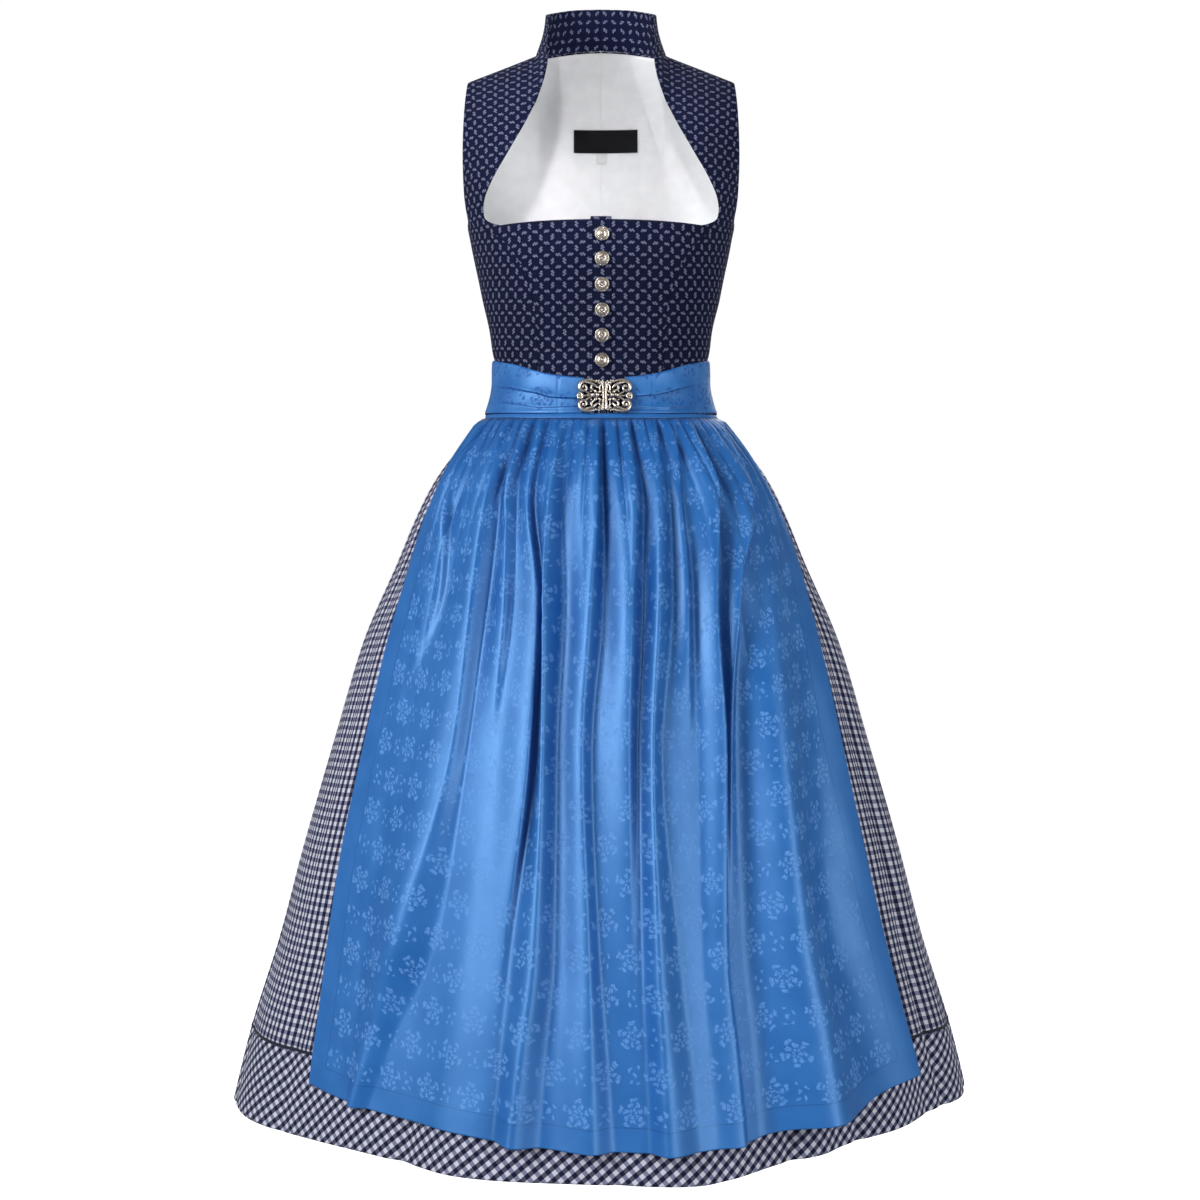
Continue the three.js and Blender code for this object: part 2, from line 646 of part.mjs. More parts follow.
function pipingStrip(half) {
  const pointAt = (share, down, skin) => {
    const z = hemLine(half, share, 'piping') - down * PIPING.height;
    return skirtPoint(half, share, z, PIPING.proud - skin * PIPING.depth);
  };
  return clothWall(steps(-1, 1, HEM_COLUMNS), [0, 1], pointAt);
}

function hemBand(half) {
  const pointAt = (share, down, skin) => {
    const top = hemLine(half, share, 'piping') - PIPING.height - SEAM;
    const z = lerp(top, hemLine(half, share, 'hem'), down);
    return skirtPoint(half, share, z, -skin * HEM_BAND_CLOTH);
  };
  return clothWall(steps(-1, 1, HEM_COLUMNS), [0, 1], pointAt);
}

// ---------------------------------------------------------------- apron pieces
// A place across the apron (-1 to 1) as a share of the skirt's front at that height.
function apronShare(across, z) {
  const reach = read(APRON_EDGES, z, across < 0 ? 'left' : 'right');
  return across * shareAt(section(SKIRT_LEVELS, z, FRONT), reach);
}

// Where the apron's cloth starts, under its heading strip.
function apronTop(across) {
  const bandShare = Math.abs(apronShare(across, BAND_LINES[0].bottom));
  return read(BAND_LINES, bandShare, 'bottom', 'share') - SEAM;
}

function apronFolds(across, z) {
  const levels = APRON_FOLD_LEVELS;
  const toHip = clamp((levels.top - z) / (levels.top - levels.hip), 0, 1);
  const toKnee = clamp((levels.hip - z) / (levels.hip - levels.knee), 0, 1);
  const grown = smoothstep(-z, -levels.start, -levels.full);
  let rise = 0;
  for (const fold of APRON_FOLDS) {
    const at = lerp(lerp(fold.top, fold.hip, smoothstep(toHip, 0, 1)), fold.knee, toKnee);
    rise += fold.depth * grown * ridge(across - at, fold.reach, fold.reach);
  }
  return rise;
}

// Gathers run down for different lengths before they open out.
function apronGathers(count, below) {
  const stretch = 1 + 0.3 * Math.sin(7 * count + 2);
  const depth = read(APRON_GATHER_DEPTH, below / stretch, 'depth', 'below');
  return depth * gather(count, APRON_GATHERS);
}

function apronSkirt() {
  const pointAt = (count, row, skin) => {
    const across = uneven(count);
    const top = apronTop(across) - HEADING_HEIGHT - SEAM;
    const ends = { heading: top, hem: read(APRON_HEM, across, 'z', 'share') };
    const z = ends[row] ?? row;
    const lower = smoothstep(-z, -APRON_LIFT.lowFrom, -APRON_LIFT.lowFull);
    const lift = lerp(APRON_LIFT.high, APRON_LIFT.low, lower);
    const cloth = gatherDepth(z) + lift + (1 - skin) * SKIRT_CLOTH;
    const rise = apronFolds(across, z) + apronGathers(count, top - z);
    return skirtPoint(FRONT, apronShare(across, z), z, cloth + rise);
  };
  return clothWall(steps(-1, 1, APRON_GATHERS * COLUMNS_PER_GATHER), APRON_ROWS, pointAt);
}

function apronHeading() {
  const pointAt = (across, down, skin) => {
    const z = apronTop(across) - down * HEADING_HEIGHT;
    const cloth = gatherDepth(z) + HEADING_LIFT + (1 - skin) * SKIRT_CLOTH;
    return skirtPoint(FRONT, apronShare(across, z), z, cloth);
  };
  return clothWall(steps(-1, 1, HEM_COLUMNS), [0, 1], pointAt);
}

// Soft creases in the band, drawn together towards the clasp.
function bandCreases(round, up) {
  let rise = 0;
  for (const crease of BAND_CREASES) {
    const at = lerp(crease.front, crease.side, clamp(round / 0.9, 0, 1));
    rise += crease.depth * ridge(up - at, CREASE_FLANKS.under, CREASE_FLANKS.over);
  }
  return rise * smoothstep(round, 0.02, 0.16) * smoothstep(1.6 - round, 0, 0.8);
}

// Half of the band: it runs from its end under the clasp (round 0) past the side (1)
// to the centre back (2).
function apronBand(side) {
  const endX = BAND_END + side * CLASP.x;
  const endShare = shareAt(section(BAND_LEVELS, CLASP.z, FRONT), endX);
  const rounds = [...steps(0, 1, 15), ...steps(1, 2, 7).slice(1)];
  const pointAt = (round, up, skin) => {
    const half = round <= 1 ? FRONT : BACK;
    const passed = half === FRONT ? lerp(endShare, 1, round) : round;
    const top = read(BAND_LINES, passed, 'top', 'share');
    const z = lerp(read(BAND_LINES, passed, 'bottom', 'share'), top, up);
    const cut = section(BAND_LEVELS, z, half);
    const share = half === FRONT ? passed : lerp(SEAM / 2 / cut.length, 1, 2 - passed);
    const place = onSection(cut, share);
    const lift = skin === 0 ? bandCreases(round, up) : -SKIRT_CLOTH;
    const point = new THREE.Vector3(place.x, place.y, z).addScaledVector(place.out, lift);
    point.x *= side;
    return point;
  };
  return clothWall(rounds, steps(0, 1, 5), pointAt);
}

// ---------------------------------------------------------------- buttons and clasp
// A domed metal button with a rolled rim and a bead in its middle, standing on +Y.
function buttonGeometry() {
  const r = BUTTONS.radius;
  const profile = [
    [0, 0],
    [0.93 * r, 0],
    [r, 0.9],
    [0.8 * r, 2.4],
    [0.36 * r, 3.6],
    [0.2 * r, 3.2],
    [0, 4.2],
  ];
  return new THREE.LatheGeometry(profile.map(([x, y]) => new THREE.Vector2(x, y)), 12);
}

function solid(geometry) {
  const bare = new THREE.BufferGeometry();
  bare.setAttribute('position', geometry.getAttribute('position'));
  bare.setIndex(geometry.getIndex());
  const merged = mergeVertices(bare, 1e-4);
  return new wasm.Manifold(
    new wasm.Mesh({
      numProp: 3,
      vertProperties: new Float32Array(merged.getAttribute('position').array),
      triVerts: new Uint32Array(merged.getIndex().array),
    }),
  );
}

function geometryOf(manifold) {
  const mesh = manifold.getMesh();
  const geometry = new THREE.BufferGeometry();
  geometry.setAttribute('position', new THREE.BufferAttribute(mesh.vertProperties, 3));
  geometry.setIndex(new THREE.BufferAttribute(mesh.triVerts, 1));
  geometry.computeVertexNormals();
  return geometry;
}

function disc(x, y, radius, height, sides) {
  const geometry = new THREE.CylinderGeometry(radius, radius, height, sides);
  geometry.rotateX(Math.PI / 2);
  geometry.translate(x, y, height / 2);
  return solid(geometry);
}

function bead(x, y, z, radius, detail) {
  const geometry = new THREE.IcosahedronGeometry(radius, detail);
  geometry.scale(1, 1, 0.7);
  geometry.translate(x, y, z);
  geometry.setIndex([...Array(geometry.getAttribute('position').count).keys()]);
  return solid(geometry);
}

function rim(x, y, radius, wire, sides) {
  const geometry = new THREE.TorusGeometry(radius, wire, 4, sides);
  geometry.translate(x, y, CLASP.plate);
  return solid(geometry);
}

// One cast half of the clasp, lying flat: x runs out from the line where the halves
// meet. Two large scrolls and a small one frame three openings and a rosette.
function claspHalf(side) {
  const scroll = { x: 18.2, y: 8.6, radius: 9.6 };
  const knob = { x: 25, radius: 4.6 };
  const rosette = { x: 6.6, radius: 3.1 };
  const openings = [
    { x: 17.2, y: 0, wide: 4.6, tall: 17 },
    { x: 9, y: 9.4, wide: 6.2, tall: 5 },
    { x: 9, y: -9.4, wide: 6.2, tall: 5 },
  ];
  const plate = new THREE.BoxGeometry(11.6, 26, CLASP.plate);
  plate.translate(6.2, 0, CLASP.plate / 2);
  let half = solid(plate);
  for (const up of [-1, 1]) half = half.add(disc(scroll.x, up * scroll.y, scroll.radius, CLASP.plate, 16));
  half = half.add(disc(knob.x, 0, knob.radius, CLASP.plate, 10));
  for (const hole of openings) {
    const cutter = new THREE.CylinderGeometry(0.5, 0.5, 4 * CLASP.plate, 10);
    cutter.rotateX(Math.PI / 2);
    cutter.scale(hole.wide, hole.tall, 1);
    cutter.translate(hole.x, hole.y, 0);
    half = half.subtract(solid(cutter));
  }
  for (const up of [-1, 1]) half = half.add(rim(scroll.x, up * scroll.y, scroll.radius - 1, 1.1, 12));
  half = half.add(rim(knob.x, 0, knob.radius - 1, 0.9, 7));
  half = half.add(bead(rosette.x, 0, CLASP.plate, 2.2, 0));
  for (let petal = 0; petal < 5; petal += 1) {
    const turn = (petal / 5) * 2 * Math.PI;
    const x = rosette.x + rosette.radius * Math.cos(turn);
    half = half.add(bead(x, rosette.radius * Math.sin(turn), CLASP.plate, 1.5, 0));
  }
  const geometry = geometryOf(half);
  if (side > 0) return geometry;
  geometry.scale(-1, 1, 1);
  return closedGeometry([...geometry.getAttribute('position').array], [...geometry.getIndex().array]);
}

// ---------------------------------------------------------------- the scene graph
const NAVY = 0x141b42;
const CHECK = 0x7d84a8;
const SATIN = 0x4b82d0;
const LINING = 0xd2d5d8;
const METAL = 0xb3a88f;

function cloth(color, roughness = 0.9) {
  return new THREE.MeshStandardMaterial({ color, roughness, metalness: 0 });
}

function metal(color) {
  return new THREE.MeshStandardMaterial({ color, roughness: 0.35, metalness: 1 });
}

const dirndl = new THREE.Group();

function add(name, geometry, material) {
  const mesh = new THREE.Mesh(geometry, material);
  mesh.name = name;
  dirndl.add(mesh);
  return mesh;
}

for (const [word, side] of [['left', -1], ['right', 1]]) {
  add(`front_${word}`, frontPanel(side), cloth(NAVY));
  add(`side_front_${word}`, sideFrontPanel(side), cloth(NAVY));
  add(`back_${word}`, backPanel(side), cloth(NAVY));
  add(`lining_back_${word}`, liningPanel(side), cloth(LINING, 0.6));
  add(`collar_${word}`, collarHalf(side), cloth(NAVY));
  add(`apron_band_${word}`, apronBand(side), cloth(SATIN, 0.5));
}
add('button_band', buttonBand(), cloth(NAVY));
add('label', sewnInside(LABEL), cloth(0x101010));
add('size_tab', sewnInside(SIZE_TAB), cloth(0xf0f0f0));
add('apron_skirt', apronSkirt(), cloth(SATIN, 0.5));
add('apron_heading', apronHeading(), cloth(SATIN, 0.5));

for (const [word, half] of [['front', FRONT], ['back', BACK]]) {
  add(`skirt_${word}`, skirtPanel(half), cloth(CHECK));
  add(`piping_${word}`, pipingStrip(half), cloth(NAVY, 0.6));
  add(`hem_band_${word}`, hemBand(half), cloth(CHECK));
}

for (let i = 0; i < BUTTONS.count; i += 1) {
  const button = add(`button_${i + 1}`, buttonGeometry(), metal(METAL));
  const z = BUTTONS.top - i * BUTTONS.pitch;
  const seat = onBodice(FRONT, BUTTONS.x, z, BUTTON_BAND.lift + BUTTONS.gap);
  const below = onBodice(FRONT, BUTTONS.x, z - BUTTONS.radius, 0);
  const above = onBodice(FRONT, BUTTONS.x, z + BUTTONS.radius, 0);
  const slope = above.sub(below).normalize();
  const out = new THREE.Vector3(0, -slope.z, slope.y);
  button.position.copy(seat);
  button.quaternion.setFromUnitVectors(new THREE.Vector3(0, 1, 0), out);
}

for (const [word, side] of [['left', -1], ['right', 1]]) {
  const half = add(`clasp_${word}`, claspHalf(side), metal(METAL));
  const seat = section(BAND_LEVELS, CLASP.z, FRONT).depth + CLASP.lift;
  half.position.set(CLASP.x, -seat, CLASP.z);
  half.rotation.set(degToRad(90 - CLASP.tilt), 0, 0);
  half.rotateY(degToRad(side * CLASP.turn));
}

export default dirndl;
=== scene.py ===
# %% [markdown]
# # A dirndl for the shelf of parts
# The solid model already holds every panel of the dress at its real size. Here each panel
# gets the cloth that it is cut from: a thin shell on the same form, with its gathers,
# folds and seams, and a weave that runs with the threads. The solids come in first, as a
# fixed frame that nothing below may move.

# %% Load the fixed frame
import json
import math

import bmesh
import bpy
import numpy as np
from mathutils import Matrix, Vector

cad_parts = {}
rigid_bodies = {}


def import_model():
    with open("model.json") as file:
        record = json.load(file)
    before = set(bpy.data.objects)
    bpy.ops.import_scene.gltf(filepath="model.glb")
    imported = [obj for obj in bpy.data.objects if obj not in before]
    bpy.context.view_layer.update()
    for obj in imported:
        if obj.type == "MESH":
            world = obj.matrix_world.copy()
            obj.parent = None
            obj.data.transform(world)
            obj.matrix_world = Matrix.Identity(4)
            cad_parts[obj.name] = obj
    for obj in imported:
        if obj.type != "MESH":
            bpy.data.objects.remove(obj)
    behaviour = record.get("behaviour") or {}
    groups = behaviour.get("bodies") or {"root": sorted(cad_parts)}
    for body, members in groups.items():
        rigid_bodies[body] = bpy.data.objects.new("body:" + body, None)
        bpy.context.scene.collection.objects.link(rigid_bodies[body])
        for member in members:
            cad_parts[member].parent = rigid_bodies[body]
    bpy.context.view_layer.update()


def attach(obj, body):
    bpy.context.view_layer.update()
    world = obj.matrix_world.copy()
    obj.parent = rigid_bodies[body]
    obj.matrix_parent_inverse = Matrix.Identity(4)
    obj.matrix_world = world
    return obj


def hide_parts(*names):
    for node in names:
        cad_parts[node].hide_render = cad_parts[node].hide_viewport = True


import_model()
for spare in [o for o in bpy.data.objects if o.name in ("Cube", "Light", "Camera")]:
    bpy.data.objects.remove(spare)

# %% [markdown]
# ## Camera, light and floor
# A camera at the height of the skirt's middle, two metres away, sees the whole dress as
# somebody does who stands in front of it. Its place is worked out from the scale: at the
# dress one pixel of a 1200-pixel frame is 1.1 mm. The light is one broad soft panel from
# the front left, a weaker one on the right, one from behind that parts the dress from the
# wall, a small one that looks into the neckline, and a bright even room, as in a studio
# that shows clothes on white.

# %% Camera
IMAGE_SIZE = 1200
METRES_PER_PIXEL = 0.0011
CAMERA_DISTANCE = 2.15
MIDDLE_HEIGHT = -0.58
SENSOR_MM = 36
camera_data = bpy.data.cameras.new("studio_camera")
camera_data.sensor_width = SENSOR_MM
camera_data.lens = SENSOR_MM * CAMERA_DISTANCE / (IMAGE_SIZE * METRES_PER_PIXEL)
camera = bpy.data.objects.new("studio_camera", camera_data)
camera.location = (-METRES_PER_PIXEL, -CAMERA_DISTANCE, MIDDLE_HEIGHT)
camera.rotation_euler = (math.radians(90), 0, 0)
bpy.context.scene.collection.objects.link(camera)
bpy.context.scene.camera = camera
print("lens:", round(camera_data.lens, 2), "mm")

# %% Light panels and the room
FLOOR_HEIGHT = -1.4
FLOOR_REACH = 9
WALL_RADIUS, WALL_HEIGHT = 7, 9
ROOM_BRIGHTNESS = 0.23
WHITE = (1, 1, 1, 1)
LIGHT_PANELS = {  # where it stands, what it looks at, its size in metres, watts, spread in degrees
    "key_panel": ((-2.3, -2.05, 0.6), (0, 0, -0.55), (0.9, 2.0), 81, 180),
    "fill_panel": ((2.3, -2.4, -0.2), (0, 0, -0.6), (1.0, 2.2), 45, 180),
    "back_panel": ((0.6, 2.6, 0.8), (0, 0, -0.4), (1.8, 1.8), 26, 180),
    "neck_panel": ((-0.25, -2.3, 0.35), (0, 0.05, -0.05), (0.3, 0.3), 0.16, 9),
}


def light_panel(name, place, aim, size, watts, spread):
    data = bpy.data.lights.new(name, "AREA")
    data.shape = "RECTANGLE"
    data.size, data.size_y = size
    data.energy = watts
    data.spread = math.radians(spread)
    panel = bpy.data.objects.new(name, data)
    panel.location = place
    panel.rotation_euler = (Vector(aim) - Vector(place)).to_track_quat("-Z", "Y").to_euler()
    bpy.context.scene.collection.objects.link(panel)


for panel_name, panel_facts in LIGHT_PANELS.items():
    light_panel(panel_name, *panel_facts)
room = bpy.data.worlds.new("studio_room")
room.use_nodes = True
room.node_tree.nodes["Background"].inputs["Color"].default_value = WHITE
room.node_tree.nodes["Background"].inputs["Strength"].default_value = ROOM_BRIGHTNESS
bpy.context.scene.world = room
bpy.context.scene.view_settings.view_transform = "Standard"


def staged(name, bm):
    """A piece of the studio, which is no part of the dress."""
    data = bpy.data.meshes.new(name)
    bm.to_mesh(data)
    bm.free()
    made = bpy.data.objects.new(name, data)
    bpy.context.scene.collection.objects.link(made)
    return made


ground_mesh = bmesh.new()
bmesh.ops.create_grid(ground_mesh, x_segments=2, y_segments=2, size=FLOOR_REACH)
bmesh.ops.translate(ground_mesh, verts=ground_mesh.verts, vec=(0, 0, FLOOR_HEIGHT))
floor = staged("floor", ground_mesh)
wall_mesh = bmesh.new()
bmesh.ops.create_cone(wall_mesh, segments=64, radius1=WALL_RADIUS, radius2=WALL_RADIUS,
                      depth=WALL_HEIGHT, cap_ends=False)
wall = staged("studio_wall", wall_mesh)
wall.visible_diffuse = wall.visible_glossy = wall.visible_shadow = False
floor.visible_diffuse = floor.visible_glossy = False
print("lights:", ", ".join(LIGHT_PANELS))

# %% [markdown]
# ## The form that the cloth lies on
# A filled-out dress is a stack of level sections. Each one is a quarter curve from the
# centre to the side seam, between a lozenge and a rounded box, given by its half width,
# its depths and a power. Reading such short tables on smooth curves gives a form that can
# be changed by one number, which a long list of points can't. The tables repeat the
# construction's own sizes, in millimetres, so that every shell fits its solid.

# %% Short tables, read on a smooth curve
MM = 0.001
FRONT, BACK = -1, 1
SIDES = (("left", -1), ("right", 1))
HALVES = (("front", FRONT), ("back", BACK))
SEAM = 0.3  # a gap between pieces that only lie against each other
STITCHED = -0.12  # sewn pieces meet a little past their line, so no light comes through


def table(names, *rows):
    """Rows of numbers under named columns."""
    return {name: np.array(column, float) for name, column in zip(names.split(), zip(*rows))}


def read(rows, at, column, key="z"):
    """One column of a table at any place, on a curve through its rows that never overshoots."""
    x, y = rows[key], rows[column]
    place = np.clip(at, x[0], x[-1])
    i = np.clip(np.searchsorted(x, place, side="right"), 1, len(x) - 1)
    rise = np.diff(y) / np.diff(x)
    before, after = rise[:-1], rise[1:]
    even = before * after > 0
    slope = np.concatenate([rise[:1], np.zeros(len(x) - 2), rise[-1:]])
    slope[1:-1][even] = 2 * (before * after)[even] / (before + after)[even]
    gap = x[i] - x[i - 1]
    t = (place - x[i - 1]) / gap
    level = y[i - 1] + (y[i] - y[i - 1]) * t * t * (3 - 2 * t)
    return level + gap * (slope[i - 1] * t * (1 - t) ** 2 - slope[i] * t * t * (1 - t))


def lerp(a, b, t):
    return a + (b - a) * t


def stacked(x, y, z):
    return np.stack(np.broadcast_arrays(x, y, z), -1)


def smooth(value, low, high):
    """0 below low, 1 above high, and an even rise between them."""
    t = np.clip((value - low) / (high - low), 0, 1)
    return t * t * (3 - 2 * t)


BODICE_LEVELS = table(
    "z side front back power",
    (-380, 122.5, 102.5, 92.5, 2.2),
    (-358, 118.5, 98.5, 88.5, 2.2),
    (-340, 116.5, 96.5, 86.5, 2.2),
    (-322, 116, 96, 86, 2.2),
    (-310, 118.7, 98.5, 87.5, 2.2),
    (-283, 123, 105, 90, 2.2),
    (-250, 130.4, 114, 95, 2.2),
    (-217, 137.5, 122, 100, 2.2),
    (-184, 143.6, 119, 104, 2.2),
    (-166, 148, 115, 106, 2.2),
    (-150, 152, 113, 106, 2.2),
    (-120, 158, 112, 106, 2.2),
    (-85, 165, 112, 105, 2.2),
    (-50, 173, 112, 104, 2.2),
    (-10, 180, 112, 104, 2.2),
)
SKIRT_LEVELS = table(
    "z side front back power",
    (-1135, 405, 333, 323, 1.75),
    (-1049, 384, 316, 306, 1.75),
    (-943, 351, 295, 287, 1.77),
    (-848, 326, 274, 266, 1.82),
    (-733, 292, 246, 239, 1.88),
    (-626, 259, 218, 211, 1.94),
    (-539, 220, 188, 181, 2),
    (-487, 198, 168, 161, 2.03),
    (-452, 180, 152, 145, 2.05),
    (-424, 161, 134, 127, 2.07),
    (-400, 139, 114, 106, 2.09),
    (-388, 128, 105.5, 96, 2.1),
    (-370, 119, 99.5, 89, 2.15),
)
BAND_LEVELS = table(
    "z side front back power",
    (-388, 134, 110, 100, 2.15),
    (-376, 127.6, 105.5, 96, 2.15),
    (-358, 122.6, 101.9, 92.3, 2.2),
    (-340, 120, 99.9, 90.2, 2.2),
    (-316, 119.4, 99.4, 89.7, 2.2),
)
print("tables:", [len(t["z"]) for t in (BODICE_LEVELS, SKIRT_LEVELS, BAND_LEVELS)], "rows")

# %% A form, read by height and by share of the way to the side seam
LEVEL_STEP = 2.0
SECTION_STEPS = 301
SHARES = np.linspace(0, 1, SECTION_STEPS)


class Form:
    """The front or the back of a stack of level sections."""

    def __init__(self, levels, half):
        self.half = half
        self.z = np.arange(levels["z"][0], levels["z"][-1] + LEVEL_STEP / 2, LEVEL_STEP)
        self.side = read(levels, self.z, "side")
        self.depth = read(levels, self.z, "front" if half == FRONT else "back")
        power = read(levels, self.z, "power")[:, None]
        angle = np.linspace(0, np.pi / 2, SECTION_STEPS)[None, :]
        x = self.side[:, None] * np.sin(angle) ** (2 / power)
        y = self.depth[:, None] * np.maximum(np.cos(angle), 0) ** (2 / power)
        step = np.hypot(np.diff(x), np.diff(y))
        along = np.concatenate([np.zeros((len(self.z), 1)), np.cumsum(step, 1)], 1)
        self.length = along[:, -1]
        self.x = np.array([np.interp(SHARES * a[-1], a, row) for a, row in zip(along, x)])
        self.y = np.array([np.interp(SHARES * a[-1], a, row) for a, row in zip(along, y)])

    def at(self, share, z):
        """x and y at a share (-1 to 1) of the section at height z, and the level way out."""
        share, z = np.broadcast_arrays(np.asarray(share, float), z)
        row = np.clip((z - self.z[0]) / LEVEL_STEP, 0, len(self.z) - 1.001)
        column = np.clip(np.abs(share), 0, 1) * (len(SHARES) - 1.001)
        i, j = row.astype(int), column.astype(int)
        f, g = row - i, column - j

        def mix(values):
            low = values[i, j] * (1 - g) + values[i, j + 1] * g
            return low * (1 - f) + (values[i + 1, j] * (1 - g) + values[i + 1, j + 1] * g) * f

        x, y = np.sign(share) * mix(self.x), self.half * mix(self.y)
        out = stacked(x / self.level(z, self.side) ** 2, y / self.level(z, self.depth) ** 2, 0)
        return x, y, out / np.linalg.norm(out, axis=-1, keepdims=True)

    def level(self, z, values):
        """One of the form's own sizes at height z."""
        return np.interp(z, self.z, values)

    def share_of(self, x_of_height):
        """For each height of the form, the share at which it is as wide as asked."""
        wanted = x_of_height(self.z)
        return np.array([np.interp(x, row, SHARES) for x, row in zip(wanted, self.x)])


BODICE = {half: Form(BODICE_LEVELS, half) for half in (FRONT, BACK)}
SKIRT = {half: Form(SKIRT_LEVELS, half) for half in (FRONT, BACK)}
BAND = {half: Form(BAND_LEVELS, half) for half in (FRONT, BACK)}
print("hem round the form:", round(2 * sum(f.length[0] for f in SKIRT.values()) * MM, 3), "m")

# %% [markdown]
# ## A shell of cloth
# A real panel starts flat, so each shell starts as a flat grid too. Its points are then
# carried to their places on the form, and its UV map keeps the lengths along the cloth,
# in metres, so that a weave keeps its size however the panel is bent. Solidify gives the
# shell its thickness afterwards, inwards, and can give its inside another material.
# Sculpting would be freer, but then no pattern could follow the threads.

# %% The shell maker


def lengths_up(points):
    """Lengths up the cloth from its first row."""
    along = np.linalg.norm(np.diff(points, axis=0), axis=-1)
    return np.concatenate([np.zeros((1, points.shape[1])), np.cumsum(along, 0)], 0)


def cloth_lengths(points, middle):
    """Lengths along the cloth from its middle column and its first row."""
    across = np.linalg.norm(np.diff(points, axis=1), axis=-1)
    u = np.concatenate([np.zeros((len(points), 1)), np.cumsum(across, 1)], 1)
    return np.stack([u - u[:, middle : middle + 1], lengths_up(points)], -1)


def shell(name, columns, rows, place, materials, thick, keep=None, uv=None, inward=False, marks=None):
    """A shell of cloth in the places that place(column, row) gives, in millimetres."""
    columns, rows = np.asarray(columns, float), np.asarray(rows, float)
    u, v = np.meshgrid(columns, rows)
    points = place(u, v) * MM
    if uv is None:
        lengths = cloth_lengths(points, int(np.argmin(np.abs(columns))))
    else:
        lengths = uv(u, v, points)
    bm = bmesh.new()
    bmesh.ops.create_grid(bm, x_segments=len(columns) - 1, y_segments=len(rows) - 1, size=1)
    flat_points, flat_uv = points.reshape(-1, 3), lengths.reshape(-1, 2)
    layers = {word: bm.verts.layers.float.new(word) for word in (marks or {})}
    for vert, point in zip(bm.verts, flat_points):
        vert.co = point
    for word, layer in layers.items():
        for vert, value in zip(bm.verts, marks[word](u, v).reshape(-1)):
            vert[layer] = value
    uv_layer = bm.loops.layers.uv.new("UVMap")
    bm.verts.index_update()
    for face in bm.faces:
        for loop in face.loops:
            loop[uv_layer].uv = flat_uv[loop.vert.index]
    if keep is not None:
        middles = np.meshgrid((columns[:-1] + columns[1:]) / 2, (rows[:-1] + rows[1:]) / 2)
        kept = keep(*middles).reshape(-1)
        bmesh.ops.delete(bm, geom=[f for f, k in zip(list(bm.faces), kept) if not k], context="FACES")
    bm.normal_update()
    facing = sum(f.normal.dot(f.calc_center_median() * Vector((1, 1, 0))) for f in bm.faces)
    if (facing < 0) != inward:
        bmesh.ops.reverse_faces(bm, faces=bm.faces)
    return finished(name, bm, materials, thick)


def finished(name, bm, materials, thick=0.0):
    """Turns a bmesh into a smooth piece that rides on the dress, solidified where asked."""
    mesh = bpy.data.meshes.new(name)
    bm.to_mesh(mesh)
    bm.free()
    mesh.polygons.foreach_set("use_smooth", [True] * len(mesh.polygons))
    piece = bpy.data.objects.new(name, mesh)
    bpy.context.scene.collection.objects.link(piece)
    for material in materials:
        mesh.materials.append(material)
    if thick:
        wall = piece.modifiers.new("cloth", "SOLIDIFY")
        wall.thickness = thick * MM
        wall.offset = -1
        wall.material_offset = 1 if len(materials) > 1 else 0
    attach(piece, "root")
    print(f"{name}: {len(mesh.polygons)} faces")
    return piece


def even(first, last, count):
    """Even steps from first to last, both included."""
    return np.linspace(first, last, count + 1)


def edged(first, last, count, edge=2.2):
    """Steps that are finer near both ends, where cloth is turned in to be sewn."""
    inner = np.linspace(first + edge, last - edge, count + 1)
    close = np.array([0.0, 0.35, 0.8, 1.4])
    return np.concatenate([first + close, inner, (last - close)[::-1]])


def turned_in(distance, reach=1.6, depth=0.75):
    """How far cloth rolls in towards a seam, by its distance from that seam."""
    return -depth * np.clip(1 - distance / reach, 0, 1) ** 2


print("shell maker ready")

# %% [markdown]
# ## Cloths and their dyes
# Every cloth of the dress is woven, so its pattern runs with the threads: the materials
# below read the UV map, which holds metres along the cloth. A picture of the cloth would
# be quicker, but it blurs close up and can't be changed. A pattern from nodes stays sharp,
# and a check of another size is one number away. Colour is only half of a cloth: the
# other half is how it takes the light, so each one has its own roughness and sheen and a
# thread bump, and satin is smoother along its long floats than across them.

# %% A small kit for making materials


